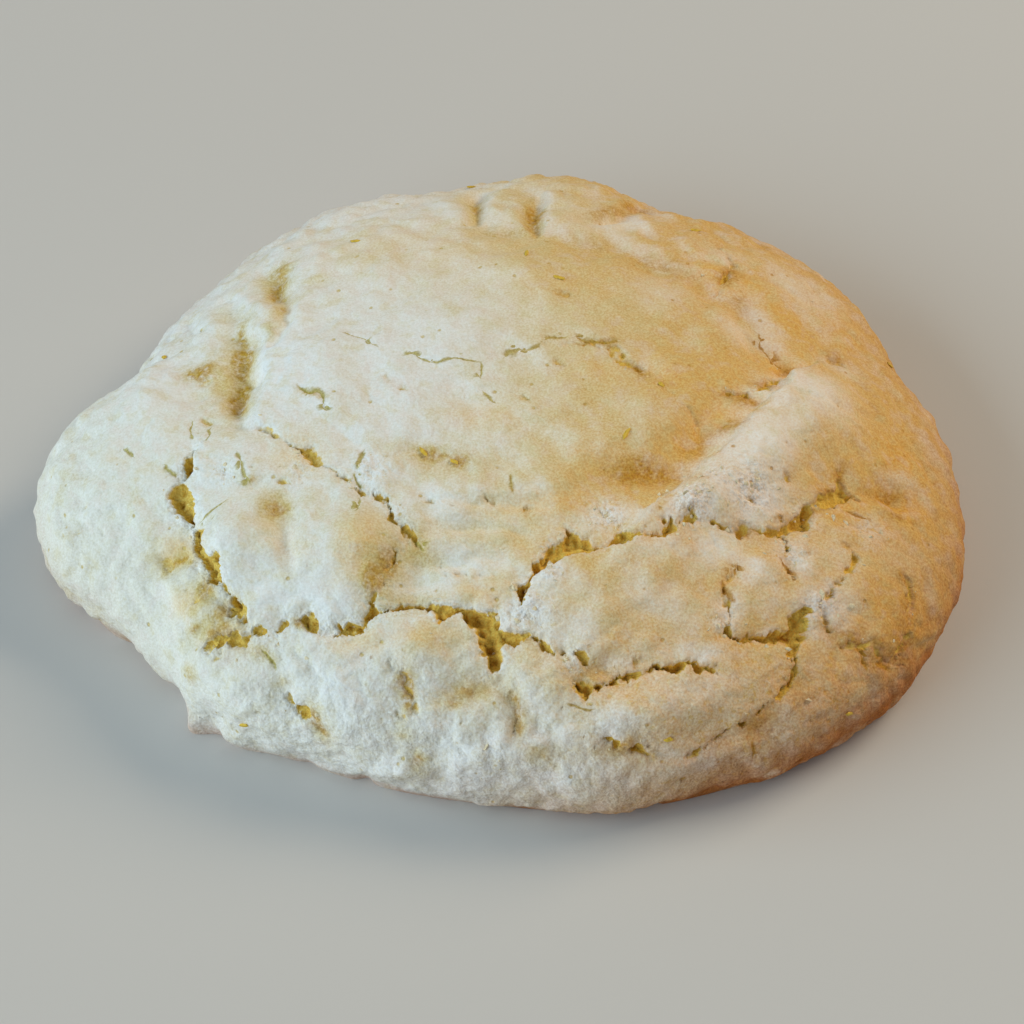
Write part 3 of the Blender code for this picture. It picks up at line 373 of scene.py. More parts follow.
# Unevenness of the whole crust: wavelength, height
UNEVEN = ((9, 0.45), (4.2, 0.28), (2, 0.13))
PUFFED = ((3.4, 0.20), (1.7, 0.16), (0.9, 0.05))  # puffy mounds with creases between
SMOOTH = ((0, 4, 19, 13, 170, 0.75), (12, -20, 10, 4.5, 175, 0.5))  # ovals that are less puffed
GRANULAR = ((1.2, 0.08), (0.6, 0.06))  # sandy surface
CRUMB = ((1, 0.16), (0.45, -0.16))  # lumps, with bubbles between, where the crust is broken open
UNDERSIDE_PITS = ((2.4, 0.16), (1.1, 0.12))
# Wander of the lines through the crust: wavelength, reach
RAGGED = ((2.4, 0.45), (1, 0.22))
TORN = ((0.5, 0.08), (0.26, 0.05))  # finer wander, which frays the edges
STAINED = ((1.6, 0.6), (0.7, 0.3))  # for the edges of the tones
GRAINS = ((1.3, 0.50), (0.5, 0.25))  # size of the grains that dough breaks into, how far edges keep to them

# Cracks
OPENNESS = 0.75  # usual share of its width that a crack stands open
PINCH = ((2.6, 1), (1.1, 0.8))  # how the cracks narrow and widen along their run
OPENING = (0.35, 1.3)  # least and greatest share
TEAR = (1.5, 1.6, 1.2)  # factor and power that keep fine cracks fine, and how soon a wide one stands open
DEPTH_SHOWN = 0.5  # share of a crack's depth that fallen crumb leaves open
PINCHED_DEPTH = 0.4  # share of the depth that is left where a crack is pinched shut
CRACK_FLOOR = ((1.3, 0.6), (0.55, 0.7))  # lumps on the floor of the cracks, as shares of its depth
# Walls: share of the half width that is floor, level length of the wall, and more of it as a share
CRACK_WALL = (0.75, 0.10, 0.35)
HAIRLINE_WALL = (0.5, 0.06, 0.5)
PIT_WALL = (0.5, 0.1, 0.6)
CRACK_SHOULDER = 1.3  # distance over which the crust rolls down into a crack
CRACK_ROLL = 0.30  # how far it rolls down, as a share of the crack's depth
SIDE_BLUR = 0.3  # distance from the middle of a crack over which one raised side gives way to the other
LIP_REACH = 2.6  # distance over which a raised side falls away
FOLD_SPREAD = 1.3  # how far a fold's rounded walls reach, in half widths
HAIRLINE_DEPTH = 0.25  # share of the listed depth that stands open
HAIRLINE_END = (0.35, 0.1)  # distances past its end where a fine crack is gone, and is still whole
HAIRLINE_SEEN = (0.6, 0.4)  # distances from it where its painted shade has no say in the colour, and full say
LINE_REACH = 9  # half widths beyond which the distance from a fine crack isn't told apart
PIT_DEPTH = 0.6  # share of the listed depth that stands open
PIT_TONE = 0.6  # strength of the smears' tone, partly painted shade, in each pit

# Broken crust
SANDY = 0.35  # how broken the whole front is
SANDY_FRONT = (19, 28)  # from where to where the front grows sandy
EDGE_REACH = 0.65  # how far from a crack the crust is broken
EDGE_BROKEN = (0.7, 0.15)  # how broken it is there, on the left and on the right
FRAYED = (1.6, -0.6)  # how broken the edge is for a crack's depth: slope, start
FLOOR_BROKEN = 0.8  # how much more broken it is a millimetre down in a crack

# Tones over the crust
TAN_STRENGTH = 0.7
WARM_TAN_STRENGTH = 0.9  # tan of the whole warm side, partly baked brown and partly painted warm light
SMEAR_AND_SHADE_STRENGTH = 1.6  # over 1 gives the smears a full middle and a shorter edge
CRACK_GLOW = 0.8  # how far the crust beside a crack takes on gold on the right, a painted glow along the cracks
WARM_RAMP = (-7, 20)  # from where to where across the cookie its tones grow warmer, partly baked brown and partly painted warm light
WARM_BACK = 0.15  # how much sooner they do further back
WARM_FRONT = ((0, 12, 0.35), (24, 34, -0.91))  # and further in front: from, to, how much sooner
LIT_SIDE = (-0.80, -0.56, 0.20)  # slopes that face this way get painted light, as if lit from there
FULL_LEAN = 0.22  # lean against the smooth body at which painted light and painted shade are full
SHADED_SLOPE_TAN = 0.15  # painted shade: tan on the slopes that face the other way
LEAN_REACH = 0.8  # length over which a slope is taken
SKIN_WIDTH = 80  # about what the crust measures from foot to foot, over the top
# Floury white on the left side, partly painted cool light
FLOURY_LIT_SIDE = (196, 56)  # direction and half width in degrees
FLOURY_LIT_RAMP = (0.273, 0.727)  # shares of the radius between which it sets in
# Browning near the foot: direction and half width in degrees, reach up the side, strength
BROWNED_SIDE = (-36, 45)
BROWNED = ((*BROWNED_SIDE, 6, 0.95), (195, 22, 6, 0.22), (150, 60, 4, 0.30))
WARM_LIT_SIDES = ((10, 75, 10, 0.62), (110, 50, 10, 0.434))  # the stronger of these two; partly painted warm light
FOOT_LINE = (0.45, 0.55)  # strength of the brown line along the foot: everywhere, more on the browned side
FOOT_LINE_HEIGHT = (1, 0.9)  # everywhere, and how much more it is round the side below
FOOT_LINE_SIDE = (150, 80)
# Names of the numbers that the mesh carries at its points for the material
MARKS = (
    "gilt_shade_and_light", "line", "beside_line", "crack", "tan", "smear_and_shade", "white_and_lit", "broken", "warm", "pale", "floury_and_lit",
    "bake_and_warm_light",
)
UNDERSIDE_TONES = {"tan": 0.6, "warm": 0.7, "bake_and_warm_light": 0.75}

# Mesh
CELLS = 560  # along each side of the grid that becomes the crust
CRUST_TRIANGLES = 176000
RIM = 1e-6  # share of the radius within which a point is on the very edge of the sheet
NORMAL_STEP = 0.3  # distance each way over which the slope of the body is taken
UNDERSIDE_CELLS = 90
UNDERSIDE_INSET = 1  # plain ring between the foot's edge and the pitted middle
UNDERSIDE_RAMP = (1, 0.875)  # shares of the radius between which its pits set in
FOOT_EDGE_ANGLE = math.radians(40)  # edges on the floor that are sharper than this stay sharp
ON_FLOOR = 1e-7  # height in metres up to which a point counts as on the floor

# Crumbs and zest
CRUMB_SEED = 5
CRUMBS_PER_MM = 0.5
DEEP_CRACK = 1.5  # cracks deeper than this gather no more crumbs
CRUMB_SCATTER = 0.45  # usual distance of a crumb from the crack's edge
CRUMBS_A_PLACE = 14
PLACE_SCATTER = 0.6  # usual distance of a crumb from the middle of its place, as a share of the half width
CRUMB_SIZE = (0.08, 0.30)  # smallest and largest radius
SMALL_CRUMBS = 2.5  # higher makes large crumbs rarer
CRUMB_FLATNESS = (0.7, 1.2)  # least and greatest share of its size each way
CRUMB_ROUGHNESS = 1.2
CRUMB_SUNK = 0.5  # depth of its middle under the crust, as a share of its radius
ZEST_HALF_WIDTH = 0.16
ZEST_HALF_THICKNESS = 0.09
ZEST_RISE = 0.05  # middle of a fleck above the crust
ZEST_ROUGHNESS = 0.5

# Colours, 0 to 255
PALE = (238, 236, 228)
CREAM = (236, 222, 188)
YELLOW_TAN = (222, 208, 156)
ROSY = (238, 222, 214)
WARM_TAN = (228, 186, 110)
SMEAR_AND_SHADE_YELLOW = (206, 180, 90)
SMEAR_AND_SHADE_BROWN = (200, 146, 54)
SMEAR_AND_SHADE_DEEP = (192, 152, 54)
FLOURY_AND_LIT = (236, 235, 219)
BAKED_AND_WARM_LIT = (178, 108, 50)
CRUMB_COLOUR = (238, 222, 186)
ZEST_COLOUR = (228, 190, 60)
FLOOR_COLOUR = (208, 206, 203)
# Colours that differ between the left and the right of the cookie, partly painted cool and warm light
WHITE = ((244, 247, 247), (252, 244, 238))
GILT = ((238, 208, 150), (237, 182, 84))
# In the cracks, gold is partly the crumb's colour and partly a painted glow; brown is painted shade where
# deepest
CRACK_GOLD = ((226, 194, 96), (229, 191, 88))
CRACK_BROWN = ((180, 136, 32), (180, 123, 34))
# Tone of the fine cracks, painted shade in them
LINE_TONE = ((178, 162, 70), (190, 134, 36))

# Grain of the tones and of the finest relief, all from 0 to 1: wavelength, number of finer waves in it
BROAD = (7, 3)
BLOTCH = (2.2, 3)
MOTTLE = (1.4, 2)
SPECKLE = (0.5, 3)
SAND = (0.16, 2)
LINE_WANDER = (1.2, 4)
LINE_GAPS = (1.1, 1)
GRAIN_ROUGHNESS = 0.6
GRANULE_SIZE = 0.34
LUMP_SIZES = (0.42, 0.20)
PORE_SPACING = 1.3
PORE_RADIUS = (0.16, 0.06)  # where a pore sets in and is full, as shares of the spacing
PORE_CHANCE = (0.70, 0.72)  # cells that fall above this have a pore
PORE_SHARE = 0.7  # how far the pinholes take on the colour of a crease, as painted shade
CRACKS_BROWNER = (-18, -2)  # from where to where across the cookie the cracks' gold turns browner
# Finest relief: depths in millimetres, and weights against that of the speckle
CRUST_RELIEF = 0.14
PIECE_RELIEF = 0.08
RELIEF_STRENGTH = 0.6
SAND_RELIEF = 0.4
GRANULE_RELIEF = 0.7
CRUMB_RELIEF = 1.9
SMOOTHER_BACK = (-12, 14)  # from where to where along the cookie it dies down
BACK_SMOOTHED = 0.5  # share of it that has gone there
DARKER = 0.7  # darkest tone of the crumbs and the zest, as a share of their colour

# Stage. Lights: name, place and size in metres, power, colour
LIGHTS = (
    ("window", (-0.50, -0.21, 0.26), (0.80, 0.45), 3.45, (0.74, 0.91, 1.0)),
    ("lamp", (0.40, 0.20, 0.38), (0.30, 0.30), 1.85, (1.0, 0.84, 0.62)),
)
ROOM_COLOUR = (0.90, 0.96, 1.0)
ROOM_STRENGTH = 0.2
FLOOR_SIZE = 3  # in metres
CAMERA_ELEVATION = math.radians(47)  # angle of the photograph
CAMERA_DISTANCE = 280
CAMERA_TARGET = (1.03, 0.16, 0.3)
SENSOR_WIDTH = 36
VIEW_WIDTH = 77.3  # seen across the picture at the target


def outline_radius(direction):
    """Radius of the widest level in each direction, in radians, on a closed smooth curve."""
    values = np.array([radius for _, radius in OUTLINE], float)
    count = len(values)
    place = np.mod(direction, 2 * np.pi) / (2 * np.pi) * count
    span = np.floor(place).astype(int) % count
    share = place - np.floor(place)
    before, here, there, after = (values[(span + step) % count] for step in (-1, 0, 1, 2))
    return 0.5 * (
        2 * here
        + (there - before) * share
        + (2 * before - 5 * here + 4 * there - after) * share**2
        + (3 * here - before - 3 * there + after) * share**3
    )


def fading(distance, reach):
    """1 at no distance, falling away to 0 past the reach."""
    return np.exp(-((distance / reach) ** 2))


def side_weight(direction, centre, half_width):
    """1 in a direction given in degrees, falling to 0 away from it."""
    return fading((np.degrees(direction) - centre + 180) % 360 - 180, half_width)


def smooth_step(value, low, high):
    """0 at the low end and 1 at the high end, with a smooth climb between."""
    value = np.clip((value - low) / (high - low), 0, 1)
    return value * value * (3 - 2 * value)


def section(steps=600):
    """Half section from the top to the foot: length, share of the radius, height; and the mean radius."""
    mean = np.mean([radius for _, radius in OUTLINE])
    climb = np.linspace(np.pi / 2, 0, steps)
    drop = np.linspace(0, 1, steps // 4)[1:]
    share = np.concatenate([np.cos(climb) ** (2 / DOME_POWER), 1 - (1 - FOOT_SHARE) * drop**2])
    share[0] = 0
    top = WIDEST_HEIGHT + (THICKNESS - WIDEST_HEIGHT) * np.sin(climb)
    height = np.concatenate([top, WIDEST_HEIGHT * (1 - drop)])
    length = np.concatenate([[0], np.cumsum(np.hypot(np.diff(share) * mean, np.diff(height)))])
    return length, share, height, mean


def skin_point(places):
    """Point of the smooth body under each place on the skin, and the length left to the foot."""
    length, share, height, mean = section()
    direction = np.arctan2(places[1], places[0])
    radius = outline_radius(direction)
    run = np.hypot(*places) * mean / radius
    left = length[-1] - run
    reach = np.interp(run, length, share) * radius
    for centre, half_width, depth, nick_reach in NICKS:
        reach -= depth * side_weight(direction, centre, half_width) * fading(left, nick_reach)
    level = np.interp(run, length, height)
    return np.stack([reach * np.cos(direction), reach * np.sin(direction), level], -1), left


def skin_normal(places):
    """Outward direction of the smooth body."""
    steps = NORMAL_STEP * np.eye(2)[:, :, None]
    east, north = (skin_point(places + step)[0] - skin_point(places - step)[0] for step in steps)
    normal = np.cross(east, north)
    return normal / np.linalg.norm(normal, axis=-1, keepdims=True)


def uneven(points, octaves, seed):
    """Smooth random rise and fall, from the same seed every time."""
    total = np.zeros(len(points))
    for order, (wavelength, height) in enumerate(octaves):
        shift = Vector((seed * 17.3, order * 31.7, seed * 5.1))
        total += height * np.array([noise.noise(Vector(point) / wavelength + shift) for point in points])
    return total


def puffed(points, octaves, seed):
    """Rounded mounds with creases between them."""
    total = np.zeros(len(points))
    for order, (wavelength, height) in enumerate(octaves):
        total += height * (np.abs(uneven(points, ((wavelength, 2.0),), seed + order)) - 0.5)
    return total


def wandering(places, body, octaves, seed):
    """Places moved about at random, so that what is laid out on them turns ragged."""
    return places + [uneven(body, octaves, seed), uneven(body, octaves, seed + 1)]


def towards_grains(places):
    """How far each place moves towards the middle of the grains of dough it belongs to."""
    shift = np.zeros_like(places)
    for size, hold in GRAINS:
        seeds = np.array([noise.voronoi(Vector((x, y, 0)) / size)[1][0][:2] for x, y in places.T])
        shift += hold * (seeds.T * size - places)
    return shift


def spread(places, x, y, half_length, half_width, turn):
    """1 in the middle of an oval, falling away to 0 over it."""
    angle = math.radians(turn)
    east, north = places[0] - x, places[1] - y
    lengthwise = east * math.cos(angle) + north * math.sin(angle)
    crosswise = north * math.cos(angle) - east * math.sin(angle)
    return np.exp(-((lengthwise / half_length) ** 2) - (crosswise / half_width) ** 2)


def added(places, ovals):
    """Sum of the strengths of some ovals at each place."""
    return sum(strength * spread(places, *oval) for *oval, strength in ovals)


def strongest(places, ovals):
    """Greatest of the strengths of some ovals at each place."""
    return functools.reduce(np.maximum, (strength * spread(places, *oval) for *oval, strength in ovals))


def along_route(places, route):
    """Distance of each place to a route, how far it lies to the left of it, and the route's values there."""
    best = np.full(places.shape[1], np.inf)
    beside = np.zeros_like(best)
    values = [beside] * (len(route[0]) - 2)
    for (start_x, start_y, *start), (end_x, end_y, *end) in zip(route, route[1:]):
        run_x, run_y = end_x - start_x, end_y - start_y
        east, north = places[0] - start_x, places[1] - start_y
        share = np.clip((east * run_x + north * run_y) / (run_x**2 + run_y**2), 0, 1)
        distance = np.hypot(east - share * run_x, north - share * run_y)
        nearer = distance < best
        best = np.where(nearer, distance, best)
        beside = np.where(nearer, (run_x * north - run_y * east) / math.hypot(run_x, run_y), beside)
        values = [np.where(nearer, a + share * (b - a), value) for a, b, value in zip(start, end, values)]
    return best, beside, *values


def fold_depth(places):
    """Depth of the soft folds."""
    deepest = 0
    for route in FOLDS:
        distance, _, width, depth = along_route(places, route)
        deepest = np.maximum(deepest, depth * fading(distance, FOLD_SPREAD * width))
    return deepest


def ledge_rise(places):
    """Rise of the crust behind the ledge's edge."""
    distance, beside = along_route(places, LEDGE)
    return LEDGE_HEIGHT * smooth_step(beside, -LEDGE_EDGE / 2, LEDGE_EDGE / 2) * fading(distance, LEDGE_REACH)


def opened(distance, half_width, floor, least, more):
    """1 on the floor of a crack and 0 on the crust beside it."""
    return smooth_step(distance, (floor + more) * half_width + least, floor * half_width)


def cracks(wandered, torn, body):
    """Depth of the cracks, how far the crust rolls down to them and rises beside them, and how torn it is."""
    opening = np.clip(OPENNESS + uneven(body, PINCH, 6), *OPENING)
    shown = DEPTH_SHOWN * np.clip(PINCHED_DEPTH + opening, 0, 1) * (1 + uneven(body, CRACK_FLOOR, 14))
    factor, power, quickness = TEAR
    crack, roll, lip, edge = np.zeros((4, len(body)))
    for left_lip, right_lip, route in CRACKS:
        distance, _, width, depth = along_route(torn, route)
        width = factor * width**power * (opening + (1 - opening) * np.clip(quickness * width, 0, 1))
        crack = np.maximum(crack, depth * shown * opened(distance, width, *CRACK_WALL))
        frayed = np.clip(FRAYED[0] * depth + FRAYED[1], 0, 1)
        edge = np.maximum(edge, frayed * fading(distance - width, EDGE_REACH))
        distance, beside, _, depth = along_route(wandered, route)
        roll = np.maximum(roll, CRACK_ROLL * depth * np.exp(-distance / CRACK_SHOULDER))
        side = beside / (distance + SIDE_BLUR)
        raised = 0.5 * (left_lip * (1 + side) + right_lip * (1 - side)) * np.clip(depth, 0, 1)
        lip = np.maximum(lip, raised * fading(distance, LIP_REACH))
    return crack, roll, lip, edge


def hairlines(places):
    """Depth of the fine cracks, how far each place shows one, and where it lies across it in half widths."""
    deepest, line, beside_line = np.zeros((3, places.shape[1]))
    nearest = np.full_like(line, np.inf)
    for half_width, depth, route in HAIRLINES:
        distance, beside = along_route(places, route)
        deepest = np.maximum(deepest, HAIRLINE_DEPTH * depth * opened(distance, half_width, *HAIRLINE_WALL))
        past_end = np.sqrt(np.maximum(distance**2 - beside**2, 0))
        seen = smooth_step(past_end, *HAIRLINE_END) * smooth_step(distance, *HAIRLINE_SEEN)
        nearer = distance < nearest
        line = np.where(nearer, seen, line)
        beside_line = np.where(nearer, np.copysign(distance, beside) / half_width, beside_line)
        nearest = np.minimum(nearest, distance)
    return deepest, line, np.clip(beside_line, -LINE_REACH, LINE_REACH)


def pits(places):
    """Depth of the pits, and how far each place takes on their tone."""
    deepest = tone = 0
    for x, y, half_width, depth in PITS:
        distance = np.hypot(places[0] - x, places[1] - y)
        deepest = np.maximum(deepest, PIT_DEPTH * depth * opened(distance, half_width, *PIT_WALL))
        tone = np.maximum(tone, PIT_TONE * fading(distance, half_width))
    return deepest, tone


def brokenness(places, edge, crack):
    """How far the crust has crumbled: in places, along the cracks and inside them, and over the front."""
    left_edge, right_edge = EDGE_BROKEN
    edge = edge * (left_edge + (right_edge - left_edge) * smooth_step(places[0], *WARM_RAMP))
    front = SANDY * smooth_step(-places[1], *SANDY_FRONT)
    crumbly = strongest(places, [(x, y, size, size, 0, much) for x, y, size, much in CRUMBLY])
    return np.clip(np.maximum.reduce([front, crumbly, edge]) + FLOOR_BROKEN * np.clip(crack, 0, 1), 0, 1)


def warmth(points):
    """How far each point takes on the browner tones of the right-hand side, partly painted warm light."""
    x, y, _ = points.T
    shifted = x + WARM_BACK * np.maximum(y, 0)
    shifted += sum(much * np.clip(-y - start, 0, end - start) for start, end, much in WARM_FRONT)
    return smooth_step(shifted, *WARM_RAMP)


def crust(places):
    """Points of the crust, the same without cracks and crumb, the length left to the foot, and the marks."""
    body, left = skin_point(places)
    wandered = wandering(places, body, RAGGED, 2)
    grains = towards_grains(places)
    torn = wandering(wandered + grains, body, TORN, 4)
    stained = wandering(places, body, STAINED, 12)
    crack, roll, lip, edge = cracks(wandered, torn, body)
    fine_crack, line, beside_line = hairlines(wandered)
    pit, pit_tone = pits(torn)
    crack = np.maximum.reduce([crack, fine_crack, pit])
    broken = brokenness(places, edge, crack)

    height = uneven(body, UNEVEN, 1) + added(places, SWELLS)
    height += (1 - added(places, SMOOTH)) * puffed(body, PUFFED, 10)
    height += ledge_rise(wandered + LEDGE_GRAIN * grains) + lip - fold_depth(wandered) - roll
    outward = skin_normal(places) * smooth_step(left, 0, FOOT_FADE)[:, None]
    shape = body + outward * height[:, None]
    fine = uneven(body, GRANULAR, 7) + broken * puffed(body, CRUMB, 8) - crack
    points = shape + outward * fine[:, None]
    points[:, :2] += TO_CENTRE
    points[:, 2] = np.maximum(points[:, 2], 0)

    # warmer towards the right: partly baked brown, partly painted warm light
    warm = warmth(points)
    # white places, many of them painted light
    white_and_lit = strongest(stained, WHITE_AND_LIT)
    # tan, with painted shade in the hollows and painted warm light on the warm side
    tan = TAN_STRENGTH * strongest(places, TAN_AND_HOLLOW_SHADE) + WARM_TAN_STRENGTH * warm
    # smears, partly painted shade in the creases and pits
    smear_and_shade = np.maximum(strongest(stained, SMEARS_AND_SHADE), pit_tone)
    marks = {
        # gold, in part painted shade along the folds, painted warm light, and a painted glow beside the
        # cracks
        "gilt_shade_and_light": np.maximum(strongest(stained, GILT_SHADE_AND_LIGHT), CRACK_GLOW * warm * roll * (1 - white_and_lit)),
        "line": line, "beside_line": beside_line, "crack": crack, "tan": tan * (1 - white_and_lit),
        "smear_and_shade": np.clip(SMEAR_AND_SHADE_STRENGTH * smear_and_shade, 0, 1), "white_and_lit": white_and_lit, "broken": broken, "warm": warm,
    }
    return points, shape, left, marks


def add_object(name, data):
    """Object in the scene that holds a mesh, a light or a camera."""
    thing = bpy.data.objects.new(name, data)
    bpy.context.scene.collection.objects.link(thing)
    return thing


def mesh_from(name, shape):
    """Mesh from a bmesh, which is used up."""
    mesh = bpy.data.meshes.new(name)
    shape.to_mesh(mesh)
    shape.free()
    return mesh


def disc_from_square(x, y):
    """Place on a round sheet, as share of its radius and direction, for a place on a square one."""
    sideways = np.abs(x) > np.abs(y)
    long_way = np.where(sideways, x, y)
    short_way = np.where(sideways, y, x)
    share = np.divide(short_way, long_way, out=np.zeros_like(x), where=long_way != 0)
    turn = np.pi / 4 * share
    direction = np.where(sideways, turn, np.pi / 2 - turn) + np.where(long_way < 0, np.pi, 0)
    return np.abs(long_way), direction


def round_sheet(name, cells):
    """Object with a square grid for a mesh, and where each of its points lies on a disc."""
    sheet = bmesh.new()
    bmesh.ops.create_grid(sheet, x_segments=cells, y_segments=cells, size=1)
    mesh = mesh_from(name, sheet)
    square = np.zeros(len(mesh.vertices) * 3, np.float32)
    mesh.vertices.foreach_get("co", square)
    x, y, _ = square.reshape(-1, 3).astype(float).T
    return add_object(name, mesh), *disc_from_square(x, y)


def put_points(mesh, points, marks):
    """Moves a mesh's points, in millimetres, and stores one number a point under each name."""
    mesh.vertices.foreach_set("co", (points * MM).astype(np.float32).ravel())
    for name, values in marks.items():
        mesh.attributes.new(name, "FLOAT", "POINT").data.foreach_set("value", np.asarray(values, np.float32))


def thinned(thing, triangles):
    """Object's mesh with the number of triangles brought down, most where it is flat."""
    thin = thing.modifiers.new("thin", "DECIMATE")
    thin.ratio = triangles / (2 * len(thing.data.polygons))
    thin.use_collapse_triangulate = True
    return bpy.data.meshes.new_from_object(thing.evaluated_get(bpy.context.evaluated_depsgraph_get()))


def lean_to(points, side):
    """How far the surface under a square grid of points faces one way."""
    cells = round(math.sqrt(len(points)))
    grid = points.reshape(cells, cells, 3)
    reach = round(LEAN_REACH * cells / SKIN_WIDTH)
    padded = np.pad(grid, ((reach, reach), (reach, reach), (0, 0)), mode="edge")
    down = padded[2 * reach:, reach:-reach] - padded[:-2 * reach, reach:-reach]
    sideways = padded[reach:-reach, 2 * reach:] - padded[reach:-reach, :-2 * reach]
    normal = np.cross(sideways, down).reshape(-1, 3)
    normal /= np.linalg.norm(normal, axis=-1, keepdims=True)
    return normal @ np.array(side) * np.sign(normal[len(normal) // 2, 2])


def browning_and_warm_light(direction, left):
    """How browned the crust is near the foot, partly painted warm light up the back and the right."""
    height, more_height = FOOT_LINE_HEIGHT
    strength, more_strength = FOOT_LINE
    foot_line = fading(left, height + more_height * side_weight(direction, *FOOT_LINE_SIDE))
    foot_line *= strength + more_strength * side_weight(direction, *BROWNED_SIDE)
    browned, warm_lit = (
        [much * side_weight(direction, *side) * fading(left, reach) for *side, reach, much in sides]
        for sides in (BROWNED, WARM_LIT_SIDES)
    )
    return np.clip(foot_line + sum(browned) + np.maximum(*warm_lit), 0, 1)


def make_crust():
    """The crust from the middle of the top down to the foot."""
    top, share, direction = round_sheet("crust", CELLS)
    length, _, _, mean = section()
    run = share * length[-1] * outline_radius(direction) / mean
    places = run * np.stack([np.cos(direction), np.sin(direction)])
    points, shape, left, marks = crust(places)
    points[share > 1 - RIM, 2] = 0
    # Painted light: slopes that face the cool light turn paler; painted shade: slopes that face away turn
    # more tan
    lean = (lean_to(shape, LIT_SIDE) - lean_to(skin_point(places)[0], LIT_SIDE)) / FULL_LEAN
    marks["pale"] = np.clip(lean, 0, 1)
    marks["tan"] = np.clip(marks["tan"] + SHADED_SLOPE_TAN * np.clip(-lean, 0, 1), 0, 1)
    marks["bake_and_warm_light"] = browning_and_warm_light(direction, left)
    # white as flour on the left, partly painted cool light
    marks["floury_and_lit"] = side_weight(direction, *FLOURY_LIT_SIDE) * smooth_step(share, *FLOURY_LIT_RAMP)
    put_points(top.data, points, marks)
    top.data = thinned(top, CRUST_TRIANGLES)
    return top


def make_underside():
    """The flat underside, a little pitted and browned, standing clear of the foot's edge."""
    base, share, direction = round_sheet("underside", UNDERSIDE_CELLS)
    reach = share * (outline_radius(direction) * FOOT_SHARE - UNDERSIDE_INSET)
    points = np.stack([reach * np.cos(direction), reach * np.sin(direction), 0 * share], -1)
    pitted = np.maximum(uneven(points, UNDERSIDE_PITS, 9), 0)
    points += (*TO_CENTRE, 0)
    points[:, 2] = pitted * smooth_step(share, *UNDERSIDE_RAMP)
    marks = {name: UNDERSIDE_TONES.get(name, 0) + 0 * share for name in MARKS}
    put_points(base.data, points, marks)
    return base


def make_cookie():
    """Crust and underside as one closed mesh, with the ring between them filled."""
    joined = bmesh.new()
    for part in (make_crust(), make_underside()):
        joined.from_mesh(part.data)
        bpy.data.objects.remove(part)
    ring = [edge for edge in joined.edges if edge.is_boundary]
    bmesh.ops.triangle_fill(joined, edges=ring, use_beauty=True)
    bmesh.ops.triangulate(joined, faces=joined.faces)
    bmesh.ops.recalc_face_normals(joined, faces=joined.faces)
    for edge in joined.edges:
        above_floor = all(vertex.co.z > ON_FLOOR for vertex in edge.verts)
        edge.smooth = above_floor or edge.calc_face_angle(0) < FOOT_EDGE_ANGLE
    for face in joined.faces:
        face.smooth = True
    return add_object("crust", mesh_from("cookie_crust", joined))


def place_on_crust(places):
    """Points on the crust and the directions that face away from it, for a list of places on the skin."""
    places = np.array(places, float).T
    return zip(crust(places)[0], skin_normal(places))


def add_lump(lumps, point, normal, size, turn, seed, roughness, fineness):
    """One irregular lump of the given size along its three ways, round a point."""
    made = bmesh.ops.create_icosphere(lumps, subdivisions=fineness, radius=1)
    upright = Vector(normal).to_track_quat("Z", "Y").to_matrix().to_4x4()
    place = Matrix.Translation(Vector(point) * MM) @ upright @ Matrix.Rotation(turn, 4, "Z")
    for vertex in made["verts"]:
        ball = vertex.co.copy()
        ball *= 1 + roughness * noise.noise(ball * 1.3 + Vector((seed, seed * 1.7, 0)))
        vertex.co = place @ Vector([MM * side * part for side, part in zip(size, ball)])


def make_crumbs():
    """Loose and half loose crumbs along the deeper cracks and in the crumbled places."""
    chance = random.Random(CRUMB_SEED)
    places = []
    for _, _, route in CRACKS:
        for start, end in zip(route, route[1:]):
            length = math.dist(start[:2], end[:2])
            for _ in range(round(length * CRUMBS_PER_MM * min(start[3], DEEP_CRACK))):
                share = chance.random()
                x, y, half_width, _ = (a + share * (b - a) for a, b in zip(start, end))
                aside = chance.choice((-1, 1)) * (half_width + chance.expovariate(1 / CRUMB_SCATTER)) / length
                places.append((x - aside * (end[1] - start[1]), y + aside * (end[0] - start[0])))
    for x, y, half_width, strength in CRUMBLY:
        for _ in range(round(CRUMBS_A_PLACE * strength)):
            places.append([chance.gauss(middle, PLACE_SCATTER * half_width) for middle in (x, y)])
    crumbs = bmesh.new()
    smallest, largest = CRUMB_SIZE
    for order, (point, normal) in enumerate(place_on_crust(places)):
        size = smallest + (largest - smallest) * chance.random() ** SMALL_CRUMBS
        ways = [size * chance.uniform(*CRUMB_FLATNESS) for _ in range(3)]
        sunk = point - CRUMB_SUNK * size * normal
        add_lump(crumbs, sunk, normal, ways, chance.uniform(0, math.tau), order, CRUMB_ROUGHNESS, fineness=1)
    return add_object("crumbs", mesh_from("crumbs", crumbs))


def make_zest():
    """Short slivers of zest baked into the crust."""
    zest = bmesh.new()
    seats = place_on_crust([place for *place, _, _ in ZEST])
    for order, ((*_, length, turn), (point, normal)) in enumerate(zip(ZEST, seats)):
        size = (0.5 * length, ZEST_HALF_WIDTH, ZEST_HALF_THICKNESS)
        raised = point + ZEST_RISE * normal
        add_lump(zest, raised, normal, size, math.radians(turn), order, ZEST_ROUGHNESS, fineness=2)
    return add_object("zest", mesh_from("zest", zest))


def linear(colour):
    """Colour for a shader from its 0 to 255 values."""
    parts = [value / 255 for value in colour]
    return [part / 12.92 if part <= 0.04045 else ((part + 0.055) / 1.055) ** 2.4 for part in parts] + [1]


